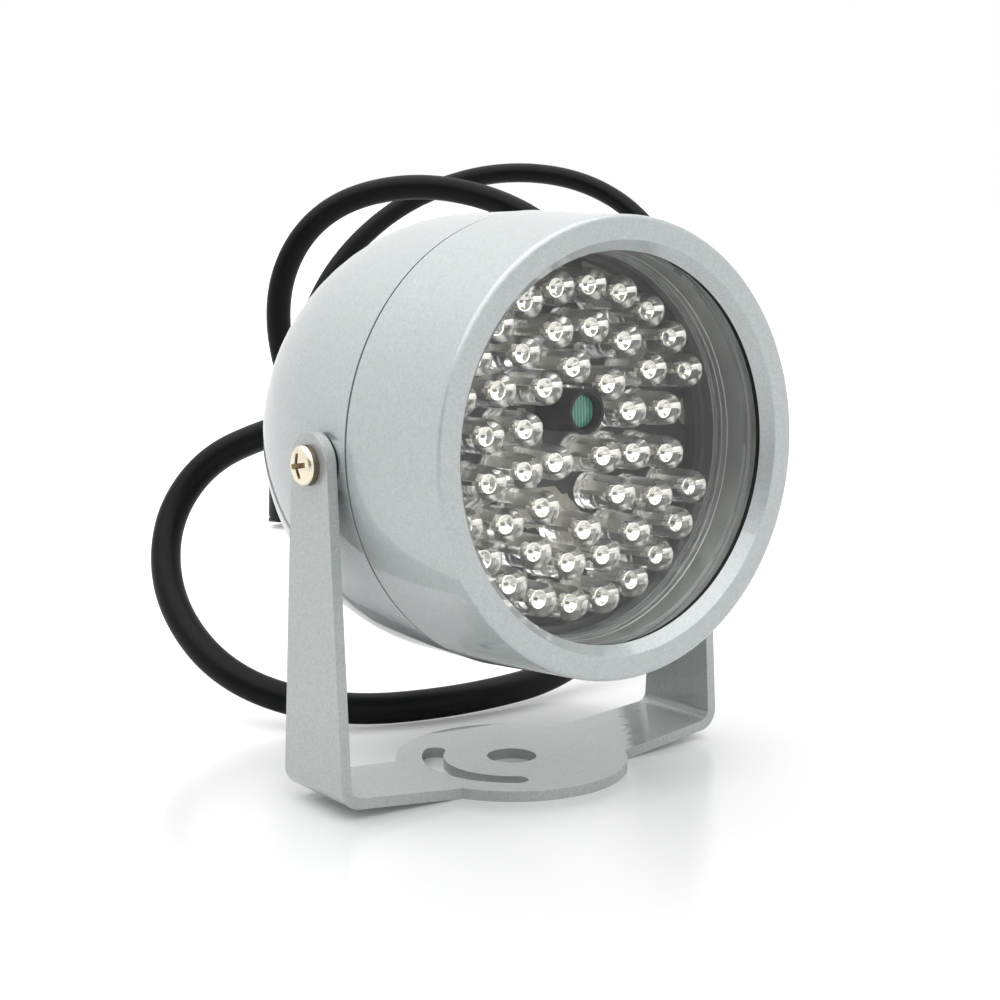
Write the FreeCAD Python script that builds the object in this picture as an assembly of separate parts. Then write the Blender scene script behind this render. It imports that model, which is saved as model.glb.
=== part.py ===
import FreeCAD, Part
import math
import os

# Infrared illuminator on a folded tilt bracket, all sizes in millimetres.
# The origin is the centre of the bracket's mounting hole, on the floor.
# The lamp looks along -Y, the tilt axis lies along X, and Z points up.

# Bracket folded from one sheet
sheet = 1.57
pivot_height = 48.77
arm_end_r = 4.5
bend_outer_r = 3.2
base_disc_r = 17.43
base_flat_half = 16.0
wing_root_half = 8.94
wing_end_half = 7.39
wing_rise = 1.5
mount_hole_r = 3.71
slot_centre_r = 11.9
slot_width = 3.2
slot_from = 130.0
slot_to = 236.0

# Place of the housing on its pivots
pivot_behind_seam = 5.7
axis_above_pivot = 1.03
rest_tilt = 2.05

# Front barrel, with depths counted back from the edge of the opening
opening_r = 27.0
rim_stand = 1.8
rim_flare = 1.48
rim_round = 0.75
window_lip = 1.4
barrel_length = 18.0
barrel_taper = 1.03
barrel_step = 0.05
spigot_wall = 2.0
spigot_length = 7.0
thread_gap = 0.1

# Rear shell
shell_wall = 2.35
shell_straight = 12.3
shell_floor = 2.4
dome_turn = 42.0
dome_height = 27.9
pad_r = 5.0
pad_stand = 0.23

# Window, seals and rings inside the barrel
seat_gap = 0.1
seam_gasket_thickness = 0.3
seam_gasket_inset = 0.7
window_gasket_thickness = 0.9
window_gasket_width = 1.1
window_thickness = 3.0
spacer_length = 5.7
spacer_wall = 0.7
retainer_thickness = 1.8
retainer_width = 2.0
retainer_groove = 0.7
retainer_opening = 24.0
retainer_play = 0.02
seat_ring_gap = 0.3
seat_ring_length = 3.5
seat_ring_width = 1.9
seat_ring_front_wall = 0.3
seat_ring_land_wall = 0.7
seat_ring_land = 1.05
clamp_ring_length = 2.5
clamp_notch_width = 4.0

# Light board and its emitters
board_thickness = 1.6
led_r = 2.5
led_height = 9.2
led_sides = 8
led_dome_latitudes = (36, 66)
outer_ring_r = 22.4
outer_ring_start = 24.7
outer_ring_count = 24
outer_ring_empty = (10, 11, 22, 23)
middle_ring_r = 16.6
middle_ring_start = 14.1
middle_ring_count = 16
inner_places = [
    (9.3, 4.2), (5.4, 8.3), (-1.0, 11.0), (-6.1, 8.4), (-9.7, 2.9),
    (-9.9, -2.9), (-6.9, -8.2), (0.6, -12.1), (7.1, -7.6), (10.0, -1.9),
]
centre_places = [(-4.4, -2.1), (4.4, -1.9)]

# Light sensor in its shade tube
sensor_place = (0.6, 4.7)
tube_outer_r = 3.2
tube_wall = 0.6
tube_length = 7.7
cell_recess = 1.35
cell_thickness = 2.0
cell_leg_r = 0.3
cell_leg_spacing = 2.6

# Driver board behind the light board
standoff_length = 10.0
standoff_across = 5.5
standoff_circle_r = 18.0
standoff_count = 3
driver_board_r = 23.5
capacitor_r = 4.0
capacitor_height = 11.0
capacitor_place = (-8.0, -7.0)
transistor_size = (10.0, 4.5, 9.0)
transistor_tab = (10.0, 1.3, 6.0)
transistor_place = (8.0, -4.5)
resistor_r = 1.2
resistor_length = 6.5
resistor_pitch = 4.0
resistor_count = 4
resistor_row_height = 11.0

# Small metric screws
screw_r = 1.5
tapped_gap = 0.02
running_gap = 0.08
head_r = 2.8
head_height = 2.0
head_side_share = 0.55
head_top_share = 0.7
recess_reach_share = 0.62
recess_width_share = 0.16
pivot_screw_grip = 2.1
board_screw_grip = 5.0

# Friction washers at the pivots
washer_thickness = 0.5
washer_r = 4.2
washer_gap = 0.03

# Cord gland and power cord
cord_r = 2.6
cord_gap = 0.05
gland_flange_r = 5.6
gland_flange = 1.8
gland_length = 7.7
gland_tip_r = 3.4
gland_shank_r = 4.0
gland_groove = 0.6
gland_groove_count = 2
nut_across = 12.0
nut_thickness = 2.6
entry_stub = 3.0
cord_first_run = 6.5
cord_bend_share = 0.45
lead_r = 0.8
lead_spacing = 2.2
lead_ends = [(6.0, 4.0), (-6.0, 4.0)]

# Socket on the end of the cord, standing on its mouth
socket_r = 5.25
socket_length = 26.0
socket_neck_r = 3.7
socket_neck_length = 5.0
socket_shoulder = 2.0
socket_lean = 13.5
socket_heading = 52.4
socket_place = (86.2, 203.3)
socket_bore_r = 3.2
socket_bore_depth = 11.0
socket_core_length = 2.0
sleeve_wall = 0.35
sleeve_recess = 0.6
pin_r = 1.05
pin_recess = 1.2
cord_last_run = 10.0

# Route of the cord between its two ends, as it lies
cord_route = [
    (-5.0, 60.2, 45.2), (-13.0, 69.4, 39.6), (-20.6, 70.1, 29.1), (-24.7, 61.3, 17.0),
    (-22.3, 46.7, 7.1), (-11.0, 32.8, 2.8), (9.2, 25.8, 2.7), (35.8, 27.6, 3.5),
    (61.5, 37.2, 15.3), (79.9, 53.1, 37.1), (86.8, 73.2, 61.9), (80.9, 94.9, 81.1),
    (65.1, 114.7, 87.9), (48.0, 128.7, 81.9), (39.8, 134.6, 63.6), (45.2, 134.2, 38.4),
    (63.3, 130.7, 15.3), (90.4, 127.1, 2.8), (120.6, 125.9, 6.2), (147.3, 129.0, 23.4),
    (165.1, 137.6, 47.9), (170.3, 151.8, 71.9), (162.1, 169.8, 87.8), (143.8, 187.9, 91.6),
    (122.5, 201.5, 83.9), (104.1, 208.4, 67.3), (92.6, 208.2, 46.9),
]

# Depths of the stacked pieces, from the opening back
rim_depth = -rim_stand
pivot_depth = barrel_length + pivot_behind_seam
window_depth = window_gasket_thickness
spacer_depth = window_depth + window_thickness
retainer_depth = spacer_depth + spacer_length
seat_ring_depth = retainer_depth + retainer_thickness + seat_ring_gap
board_depth = seat_ring_depth + seat_ring_length
board_back = board_depth + board_thickness
shell_depth = barrel_length + seam_gasket_thickness
dome_start = shell_depth + shell_straight
rear_depth = dome_start + dome_height
driver_depth = board_back + standoff_length
driver_back = driver_depth + board_thickness
shell_inside = rear_depth - shell_floor
nut_depth = shell_inside - nut_thickness
entry_depth = nut_depth - entry_stub
gland_end = rear_depth + gland_length

# Radii, from the opening outwards to the arms of the bracket
rim_inner_r = opening_r + rim_flare
bore_r = opening_r + window_lip
seated_r = bore_r - seat_gap
retainer_r = bore_r + retainer_groove
seat_ring_inner_r = seated_r - seat_ring_width
spigot_r = bore_r + spigot_wall
shell_bore_r = spigot_r + thread_gap
shell_r = shell_bore_r + shell_wall
barrel_rear_r = shell_r + barrel_step
barrel_front_r = barrel_rear_r - barrel_taper
pad_face = shell_r + pad_stand
arm_inside = pad_face + washer_thickness + washer_gap
arm_outside = arm_inside + sheet

X_AXIS = FreeCAD.Vector(1, 0, 0)
Y_AXIS = FreeCAD.Vector(0, 1, 0)
Z_AXIS = FreeCAD.Vector(0, 0, 1)
ORIGIN = FreeCAD.Vector(0, 0, 0)


def at(across, height, depth):
    """Point in the housing before it is tilted: across and height from the lamp's axis."""
    return FreeCAD.Vector(across, depth - pivot_depth, height + axis_above_pivot)


def in_place(shape):
    """Tilt a piece of the housing about the pivot line and lift it to the pivots."""
    shape.rotate(ORIGIN, X_AXIS, -rest_tilt)
    shape.translate(Z_AXIS * pivot_height)
    return shape


def turned(outline):
    """Solid turned about the lamp's axis from (depth, radius) points.

    An entry that is a pair of points is an arc through the first to the second.
    """
    edges = []
    here = at(0, outline[0][1], outline[0][0])
    for entry in outline[1:] + outline[:1]:
        if isinstance(entry[0], tuple):
            middle = at(0, entry[0][1], entry[0][0])
            end = at(0, entry[1][1], entry[1][0])
            edges.append(Part.Arc(here, middle, end).toShape())
        else:
            end = at(0, entry[1], entry[0])
            edges.append(Part.makeLine(here, end))
        here = end
    face = Part.Face(Part.Wire(edges))
    return face.revolve(at(0, 0, 0), Y_AXIS, 360)


def ring(depth, length, inner_r, outer_r):
    """Plain ring on the lamp's axis."""
    back = depth + length
    return turned([(depth, inner_r), (depth, outer_r), (back, outer_r), (back, inner_r)])


def rod(across, height, depth, length, radius):
    """Cylinder parallel to the lamp's axis."""
    return Part.makeCylinder(radius, length, at(across, height, depth), Y_AXIS)


def polar(radius, degrees):
    """Pair of coordinates at an angle counted from the first one."""
    angle = math.radians(degrees)
    return radius * math.cos(angle), radius * math.sin(angle)


def hex_rod(across, height, depth, length, across_flats):
    """Hexagonal prism parallel to the lamp's axis."""
    corner_r = across_flats / math.sqrt(3)
    corners = [polar(corner_r, 60 * k) for k in range(7)]
    points = [at(across + x, height + z, depth) for x, z in corners]
    return Part.Face(Part.makePolygon(points)).extrude(Y_AXIS * length)


def tube_path(points):
    """Wire of straight runs joined by tangent arcs, and the radii of its arcs."""
    edges = []
    radii = []
    here = points[0]
    for before, corner, after in zip(points, points[1:], points[2:]):
        back = before - corner
        ahead = after - corner
        reach = cord_bend_share * min(back.Length, ahead.Length)
        half_gap = back.getAngle(ahead) / 2
        radius = reach * math.tan(half_gap)
        start = corner + back.normalize() * reach
        end = corner + ahead.normalize() * reach
        inward = (back + ahead).normalize()
        middle = corner + inward * (radius / math.sin(half_gap) - radius)
        edges.append(Part.LineSegment(here, start).toShape())
        edges.append(Part.Arc(start, middle, end).toShape())
        radii.append(radius)
        here = end
    edges.append(Part.LineSegment(here, points[-1]).toShape())
    return Part.Wire(edges), radii


def tube(points, radius):
    """Round tube along a path of runs and arcs, with the path's radii and length."""
    path, radii = tube_path(points)
    circle = Part.makeCircle(radius, points[0], points[1] - points[0])
    solid = path.makePipeShell([Part.Wire(circle)], True, False)
    return solid, radii, path.Length


def pan_screw(head_length, grip, recess=True):
    """Pan head screw along +X with its head's seat at the origin, shank towards -X."""
    crown = head_side_share * head_length
    face = Part.makePolygon([
        FreeCAD.Vector(-grip, 0, 0), FreeCAD.Vector(-grip, 0, screw_r),
        FreeCAD.Vector(0, 0, screw_r), FreeCAD.Vector(0, 0, head_r),
        FreeCAD.Vector(crown, 0, head_r), FreeCAD.Vector(head_length, 0, head_top_share * head_r),
        FreeCAD.Vector(head_length, 0, 0), FreeCAD.Vector(-grip, 0, 0),
    ])
    body = Part.Face(face).revolve(ORIGIN, X_AXIS, 360)
    if not recess:
        return body
    arm = recess_reach_share * head_r
    blade = recess_width_share * head_r
    for long_half, wide_half in ((arm, blade), (blade, arm)):
        corner = FreeCAD.Vector(crown, -long_half, -wide_half)
        body = body.cut(Part.makeBox(head_length, 2 * long_half, 2 * wide_half, corner))
    return body


# Bracket


def bracket_strip():
    """Folded strip of sheet, pulled through the base's width, and its bend's centre in x and z."""
    inner = arm_inside
    outer = arm_outside
    top = pivot_height + arm_end_r
    slope = math.atan2(wing_rise, outer - bend_outer_r - base_flat_half)
    turn = math.pi / 2 - slope
    # Centre of the bend, where the sloping wing runs tangent into the upright arm
    centre_x = outer - bend_outer_r
    inside_corner_x = base_flat_half - sheet * math.tan(slope / 2)
    centre_z = (centre_x - base_flat_half) * math.tan(slope) + bend_outer_r / math.cos(slope)
    inner_bend_r = bend_outer_r - sheet

    def on_bend(radius, share):
        angle = slope - math.pi / 2 + turn * share
        return FreeCAD.Vector(
            centre_x + radius * math.cos(angle), -base_disc_r, centre_z + radius * math.sin(angle))

    def half(side):
        points = [
            FreeCAD.Vector(0, -base_disc_r, 0), FreeCAD.Vector(base_flat_half, -base_disc_r, 0),
            on_bend(bend_outer_r, 0), on_bend(bend_outer_r, 0.5), on_bend(bend_outer_r, 1),
            FreeCAD.Vector(outer, -base_disc_r, top), FreeCAD.Vector(inner, -base_disc_r, top),
            on_bend(inner_bend_r, 1), on_bend(inner_bend_r, 0.5), on_bend(inner_bend_r, 0),
            FreeCAD.Vector(inside_corner_x, -base_disc_r, sheet),
            FreeCAD.Vector(0, -base_disc_r, sheet),
        ]
        edges = [
            Part.makeLine(points[0], points[1]), Part.makeLine(points[1], points[2]),
            Part.Arc(points[2], points[3], points[4]).toShape(),
            Part.makeLine(points[4], points[5]), Part.makeLine(points[5], points[6]),
            Part.makeLine(points[6], points[7]),
            Part.Arc(points[7], points[8], points[9]).toShape(),
            Part.makeLine(points[9], points[10]), Part.makeLine(points[10], points[11]),
            Part.makeLine(points[11], points[0]),
        ]
        solid = Part.Face(Part.Wire(edges)).extrude(Y_AXIS * 2 * base_disc_r)
        return solid if side > 0 else solid.mirror(ORIGIN, X_AXIS)

    return half(1).fuse(half(-1)), centre_x, centre_z


def bracket():
    """Folded bracket with its mounting hole, curved slot and pivot holes."""
    strip, bend_start, bend_top = bracket_strip()
    tall = pivot_height + 2 * arm_end_r
    wide = arm_outside + 1

    # Plan of the base: a disc with a tapering wing to each side
    plan_points = []
    for side in (1, -1):
        plan_points += [
            (0, side * wing_root_half), (side * bend_start, side * wing_end_half),
            (side * wide, side * wing_end_half), (side * wide, -side * wing_end_half),
            (side * bend_start, -side * wing_end_half),
        ]
    wire = Part.makePolygon([FreeCAD.Vector(x, y, 0) for x, y in plan_points + plan_points[:1]])
    plan = Part.Face(wire).extrude(Z_AXIS * tall)
    disc = Part.makeCylinder(base_disc_r, tall)
    plan = plan.fuse(disc)

    # Side view of an arm: a taper that runs tangent into the round end
    rise = pivot_height - bend_top
    reach = math.hypot(rise, wing_end_half)
    lean = math.atan2(wing_end_half, rise) - math.asin(arm_end_r / reach)
    touch_y = arm_end_r * math.cos(lean)
    touch_z = pivot_height + arm_end_r * math.sin(lean)
    side_points = [
        (-base_disc_r, 0), (base_disc_r, 0), (base_disc_r, bend_top), (wing_end_half, bend_top),
        (touch_y, touch_z), (-touch_y, touch_z), (-wing_end_half, bend_top), (-base_disc_r, bend_top),
    ]
    side_points = side_points + side_points[:1]
    wire = Part.makePolygon([FreeCAD.Vector(-wide, y, z) for y, z in side_points])
    arms = Part.Face(wire).extrude(X_AXIS * 2 * wide)
    round_end = Part.makeCylinder(arm_end_r, 2 * wide, FreeCAD.Vector(-wide, 0, pivot_height), X_AXIS)
    arms = arms.fuse(round_end)

    body = strip.common(plan).common(arms)
    body = body.cut(Part.makeCylinder(mount_hole_r, 2 * sheet))
    body = body.cut(arc_slot())
    pivots = Part.makeCylinder(
        screw_r + running_gap, 2 * wide, FreeCAD.Vector(-wide, 0, pivot_height), X_AXIS)
    return body.cut(pivots).removeSplitter()


def arc_slot():
    """Curved slot round the mounting hole, with round ends."""
    low = slot_centre_r - slot_width / 2
    high = slot_centre_r + slot_width / 2
    middle = (slot_from + slot_to) / 2

    def spot(radius, degrees):
        x, y = polar(radius, degrees)
        return FreeCAD.Vector(x, y, 0)

    def cap(degrees, side):
        """Half circle round the slot's end, on the side away from the slot."""
        x, y = polar(slot_centre_r, degrees)
        off_x, off_y = polar(slot_width / 2, degrees + side * 90)
        return FreeCAD.Vector(x + off_x, y + off_y, 0)

    edges = [
        Part.Arc(spot(high, slot_from), spot(high, middle), spot(high, slot_to)).toShape(),
        Part.Arc(spot(high, slot_to), cap(slot_to, 1), spot(low, slot_to)).toShape(),
        Part.Arc(spot(low, slot_to), spot(low, middle), spot(low, slot_from)).toShape(),
        Part.Arc(spot(low, slot_from), cap(slot_from, -1), spot(high, slot_from)).toShape(),
    ]
    return Part.Face(Part.Wire(edges)).extrude(Z_AXIS * 2 * sheet)


# Housing shells


def front_barrel():
    """Turned barrel with the rim, the flared window lip, the bore and the rear spigot."""
    round_centre_r = barrel_front_r - rim_round
    diagonal = rim_round * math.sqrt(0.5)
    groove_back = retainer_depth + retainer_thickness + retainer_play
    return turned([
        (0, opening_r), (rim_depth, rim_inner_r), (rim_depth, round_centre_r),
        ((rim_depth + rim_round - diagonal, round_centre_r + diagonal),
         (rim_depth + rim_round, barrel_front_r)),
        (barrel_length, barrel_rear_r), (barrel_length, spigot_r),
        (barrel_length + spigot_length, spigot_r), (barrel_length + spigot_length, bore_r),
        (groove_back, bore_r), (groove_back, retainer_r + seat_gap),
        (retainer_depth, retainer_r + seat_gap), (retainer_depth, bore_r), (0, bore_r),
    ])


def rear_shell():
    """Domed shell: a cylinder, a zone of a sphere and a tangent roll to the flat back."""
    turn = math.radians(dome_turn)
    roll_depth = dome_start + shell_r * math.sin(turn)
    roll_r = shell_r * math.cos(turn)
    back_roll = (rear_depth - roll_depth) / (1 - math.sin(turn))
    flat_r = roll_r - back_roll * math.cos(turn)
    middle = (turn + math.pi / 2) / 2
    on_roll = (rear_depth - back_roll + back_roll * math.sin(middle),
               flat_r + back_roll * math.cos(middle))

    # Inside, the bore narrows in cones that follow the dome at about the wall's thickness
    cones = [(dome_start + shell_bore_r * math.sin(turn * share), shell_bore_r * math.cos(turn * share))
             for share in (1, 0.5)]
    body = turned([
        (shell_depth, shell_bore_r), (shell_depth, shell_r), (dome_start, shell_r),
        ((dome_start + shell_r * math.sin(turn / 2), shell_r * math.cos(turn / 2)),
         (roll_depth, roll_r)),
        (on_roll, (rear_depth, flat_r)),
        (rear_depth, gland_shank_r + cord_gap), (shell_inside, gland_shank_r + cord_gap),
        (shell_inside, flat_r), *cones, (dome_start, shell_bore_r),
    ])
    pad_root = shell_r - shell_wall / 2
    for side in (1, -1):
        root = FreeCAD.Vector(side * pad_root, 0, 0)
        body = body.fuse(Part.makeCylinder(pad_r, pad_face - pad_root, root, X_AXIS * side))
    for side in (1, -1):
        depth = pivot_screw_grip + screw_r / 4
        mouth = FreeCAD.Vector(side * (pad_face - depth), 0, 0)
        tapped = Part.makeCylinder(screw_r + tapped_gap, 2 * depth, mouth, X_AXIS * side)
        body = body.cut(tapped)
    return body.removeSplitter()


# Window stack


def retaining_ring():
    """Spring ring that snaps into the barrel's groove, open on one side."""
    body = ring(retainer_depth, retainer_thickness, retainer_r - retainer_width, retainer_r)
    reach = 2 * retainer_r
    half = reach * math.tan(math.radians(retainer_opening / 2))
    wedge = [at(0, 0, retainer_depth), at(-reach, half, retainer_depth),
             at(-reach, -half, retainer_depth), at(0, 0, retainer_depth)]
    gap = Part.Face(Part.makePolygon(wedge)).extrude(Y_AXIS * retainer_thickness)
    return body.cut(gap)


def board_seat_ring():
    """Stepped ring between the retaining ring and the light board."""
    land_depth = seat_ring_depth + seat_ring_land
    return turned([
        (seat_ring_depth, seated_r - seat_ring_front_wall), (seat_ring_depth, seated_r),
        (board_depth, seated_r), (board_depth, seat_ring_inner_r),
        (land_depth, seat_ring_inner_r), (land_depth, seated_r - seat_ring_land_wall),
    ])


def board_clamp_ring():
    """Threaded ring that presses the light board on its seat, with two spanner notches."""
    body = ring(board_back, clamp_ring_length, seat_ring_inner_r, seated_r)
    half = clamp_notch_width / 2
    corner = at(-seated_r, -half, board_back + clamp_ring_length / 2)
    return body.cut(Part.makeBox(2 * seated_r, clamp_ring_length, clamp_notch_width, corner))


# Light board


def light_board():
    """Round board that carries the emitters."""
    return rod(0, 0, board_depth, board_thickness, seated_r - seat_gap)


def led_lens(across, height):
    """Clear round-topped emitter, kept to a few flat faces."""
    dome_centre = board_depth - led_height + led_r
    levels = [(board_depth, led_r), (dome_centre, led_r)]
    for latitude in led_dome_latitudes:
        rise = math.radians(latitude)
        levels.append((dome_centre - led_r * math.sin(rise), led_r * math.cos(rise)))
    loops = []
    for depth, radius in levels:
        corners = [polar(radius, 360 * k / led_sides) for k in range(led_sides)]
        loops.append([at(across + x, height + z, depth) for x, z in corners])
    faces = [Part.Face(Part.makePolygon(loop + loop[:1])) for loop in (loops[0], loops[-1])]
    for low, high in zip(loops, loops[1:]):
        for k in range(led_sides):
            after = (k + 1) % led_sides
            corners = [low[k], low[after], high[after], high[k], low[k]]
            faces.append(Part.Face(Part.makePolygon(corners)))
    lens = Part.makeSolid(Part.makeShell(faces))
    lens.fixTolerance(1e-6)
    return lens if lens.Volume > 0 else lens.reversed()


def led_group(places):
    """Emitters at the given places."""
    return Part.makeCompound([led_lens(x, z) for x, z in places])


def ring_places(radius, start, places, empty=()):
    """Places evenly round a ring, without the empty ones."""
    return [polar(radius, start + 360 * k / places) for k in range(places) if k not in empty]


def sensor_tube():
    """Shade tube of the light sensor."""
    x, z = sensor_place
    outside = rod(x, z, board_depth - tube_length, tube_length, tube_outer_r)
    return outside.cut(rod(x, z, board_depth - tube_length, tube_length, tube_outer_r - tube_wall))


def photocell():
    """Round cell on two legs, held inside the shade tube."""
    x, z = sensor_place
    front = board_depth - tube_length + cell_recess
    body = rod(x, z, front, cell_thickness, tube_outer_r - tube_wall - seat_gap)
    for side in (1, -1):
        leg = rod(x, z + side * cell_leg_spacing / 2, front + cell_thickness / 2,
                  board_depth - front - cell_thickness / 2, cell_leg_r)
        body = body.fuse(leg)
    return body


# Driver board


def standoff_places():
    return ring_places(standoff_circle_r, 90, standoff_count)


def board_standoffs():
    """Hexagonal posts, each tapped from behind."""
    posts = []
    for x, z in standoff_places():
        post = hex_rod(x, z, board_back, standoff_length, standoff_across)
        depth = driver_back - board_screw_grip - screw_r / 4
        bore = rod(x, z, depth, driver_depth - depth, screw_r + tapped_gap)
        posts.append(post.cut(bore))
    return Part.makeCompound(posts)


def driver_board():
    """Round board on the posts, with its screw holes."""
    body = rod(0, 0, driver_depth, board_thickness, driver_board_r)
    for x, z in standoff_places():
        body = body.cut(rod(x, z, driver_depth, board_thickness, screw_r + running_gap))
    return body


def board_screws():
    """Screws of the driver board."""
    screws = []
    for x, z in standoff_places():
        screw = pan_screw(head_height, board_screw_grip, recess=False)
        screw.rotate(ORIGIN, Z_AXIS, 90)
        screw.translate(at(x, z, driver_back))
        screws.append(screw)
    return Part.makeCompound(screws)


def driver_capacitor():
    x, z = capacitor_place
    return rod(x, z, driver_back, capacitor_height, capacitor_r)


def driver_transistor():
    """Power transistor: a moulded block with a thinner metal tab above it."""
    x, z = transistor_place
    wide, thick, tall = transistor_size
    corner = at(x - wide / 2, z - thick / 2, driver_back)
    block = Part.makeBox(wide, tall, thick, corner)
    tab_wide, tab_thick, tab_tall = transistor_tab
    corner = at(x - tab_wide / 2, z - thick / 2, driver_back + tall)
    tab = Part.makeBox(tab_wide, tab_tall, tab_thick, corner)
    return block.fuse(tab).removeSplitter()


def string_resistors():
    """Row of resistors lying on the driver board, one for each string of emitters."""
    row = []
    first = -resistor_pitch * (resistor_count - 1) / 2
    for k in range(resistor_count):
        start = at(first + k * resistor_pitch, resistor_row_height - resistor_length / 2,
                   driver_back + resistor_r)
        row.append(Part.makeCylinder(resistor_r, resistor_length, start, Z_AXIS))
    return Part.makeCompound(row)


# Pivots


def pivot_screw(side):
    """Screw through an arm into the pad of the rear shell, head outside."""
    seat = arm_outside + washer_gap
    screw = pan_screw(head_height, seat - pad_face + pivot_screw_grip)
    if side < 0:
        screw.rotate(ORIGIN, Z_AXIS, 180)
    screw.translate(X_AXIS * side * seat)
    return screw


def pivot_washer(side):
    """Friction washer between the pad and the arm."""
    start = FreeCAD.Vector(side * pad_face, 0, 0)
    body = Part.makeCylinder(washer_r, washer_thickness, start, X_AXIS * side)
    return body.cut(Part.makeCylinder(screw_r + running_gap, washer_thickness, start, X_AXIS * side))


# Cord and its gland


def cord_gland():
    """Rubber strain relief: a flange on the shell, a ribbed taper and a shank through the wall."""
    bore = cord_r + cord_gap
    flange_back = rear_depth + gland_flange
    taper = gland_end - flange_back
    root_r = gland_flange_r - gland_groove
    outline = [
        (entry_depth + entry_stub, bore), (entry_depth + entry_stub, gland_shank_r),
        (rear_depth, gland_shank_r), (rear_depth, gland_flange_r), (flange_back, gland_flange_r),
        (flange_back, root_r),
    ]
    cells = 2 * gland_groove_count + 1
    for k in range(1, cells):
        depth = flange_back + taper * k / cells
        skin_r = root_r + (gland_tip_r - root_r) * k / cells
        floor_r = skin_r - gland_groove
        if k % 2:
            outline += [(depth, skin_r), (depth, floor_r)]
        else:
            outline += [(depth, floor_r), (depth, skin_r)]
    outline += [(gland_end, gland_tip_r), (gland_end, bore)]
    return turned(outline)


def gland_nut():
    """Nut inside the shell that holds the gland."""
    body = hex_rod(0, 0, nut_depth, nut_thickness, nut_across)
    return body.cut(rod(0, 0, nut_depth, nut_thickness, gland_shank_r + tapped_gap))


def cord_entry():
    """Straight end of the cord inside the gland and the shell."""
    return rod(0, 0, entry_depth, gland_end - entry_depth, cord_r)


def inner_lead(side, end):
    """Insulated lead from the cord's end to the driver board."""
    x, z = end
    start_x = side * lead_spacing / 2
    slack = (entry_depth - driver_back) / 3
    points = [
        at(start_x, 0, entry_depth), at(start_x, 0, entry_depth - slack),
        at(x, z, driver_back + slack), at(x, z, driver_back),
    ]
    return tube(points, lead_r)[0]


def housing_point(across, height, depth):
    """Point of the housing in its resting place."""
    spot = Part.Vertex(at(across, height, depth))
    return in_place(spot).Point


def socket_axis():
    """Unit vector along the socket from its mouth to the cord."""
    lean = math.radians(socket_lean)
    x, y = polar(math.sin(lean), socket_heading)
    return FreeCAD.Vector(x, y, math.cos(lean))


def socket_top():
    """Where the cord enters the socket, at the height that stands its mouth on the floor."""
    lean = math.radians(socket_lean)
    height = socket_length * math.cos(lean) + socket_r * math.sin(lean)
    return FreeCAD.Vector(socket_place[0], socket_place[1], height)


def power_cord():
    """Cord from the gland to the socket, along its real route."""
    points = [housing_point(0, 0, gland_end), housing_point(0, 0, gland_end + cord_first_run)]
    points += [FreeCAD.Vector(*spot) for spot in cord_route]
    points += [socket_top() + socket_axis() * cord_last_run, socket_top()]
    solid, radii, length = tube(points, cord_r)
    section = math.pi * cord_r * cord_r
    print("cord radii", [round(radius, 1) for radius in radii])
    print("cord length", round(length, 1), "volume against section times length",
          round(solid.Volume / (section * length), 5))
    return solid


def on_socket(solid):
    """Move a solid made along -Z from the origin onto the socket's axis."""
    solid.rotate(ORIGIN, Z_AXIS.cross(socket_axis()), socket_lean)
    solid.translate(socket_top())
    return solid


def socket_ring(start, length, inner_r, outer_r):
    """Sleeve on the socket's axis, counted from the cord's end."""
    foot = FreeCAD.Vector(0, 0, -start - length)
    body = Part.makeCylinder(outer_r, length, foot)
    return body.cut(Part.makeCylinder(inner_r, length, foot)) if inner_r else body


def socket_shell():
    """Moulded shell with a tapered neck and the bore for the plug."""
    neck_end = socket_neck_length
    outline = [
        (0, 0), (socket_neck_r, 0), (socket_neck_r, -neck_end),
        (socket_r, -neck_end - socket_shoulder), (socket_r, -socket_length),
        (socket_bore_r, -socket_length), (socket_bore_r, socket_bore_depth - socket_length),
        (0, socket_bore_depth - socket_length), (0, 0),
    ]
    wire = Part.makePolygon([FreeCAD.Vector(r, 0, z) for r, z in outline])
    return on_socket(Part.Face(wire).revolve(ORIGIN, Z_AXIS, 360))


def socket_core():
    """Insulating disc at the bottom of the socket's bore."""
    return on_socket(socket_ring(socket_length - socket_bore_depth, socket_core_length,
                                 pin_r + tapped_gap, socket_bore_r - cord_gap))


def socket_sleeve():
    """Outer contact, a thin sleeve in the bore."""
    start = socket_length - socket_bore_depth + socket_core_length
    outer_r = socket_bore_r - cord_gap
    return on_socket(socket_ring(start, socket_length - start - sleeve_recess,
                                 outer_r - sleeve_wall, outer_r))


def socket_pin():
    """Centre contact, carried by the insulating disc."""
    start = socket_length - socket_bore_depth
    return on_socket(socket_ring(start, socket_bore_depth - pin_recess, 0, pin_r))


outer_places = ring_places(outer_ring_r, outer_ring_start, outer_ring_count, outer_ring_empty)
middle_places = ring_places(middle_ring_r, middle_ring_start, middle_ring_count)

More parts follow.
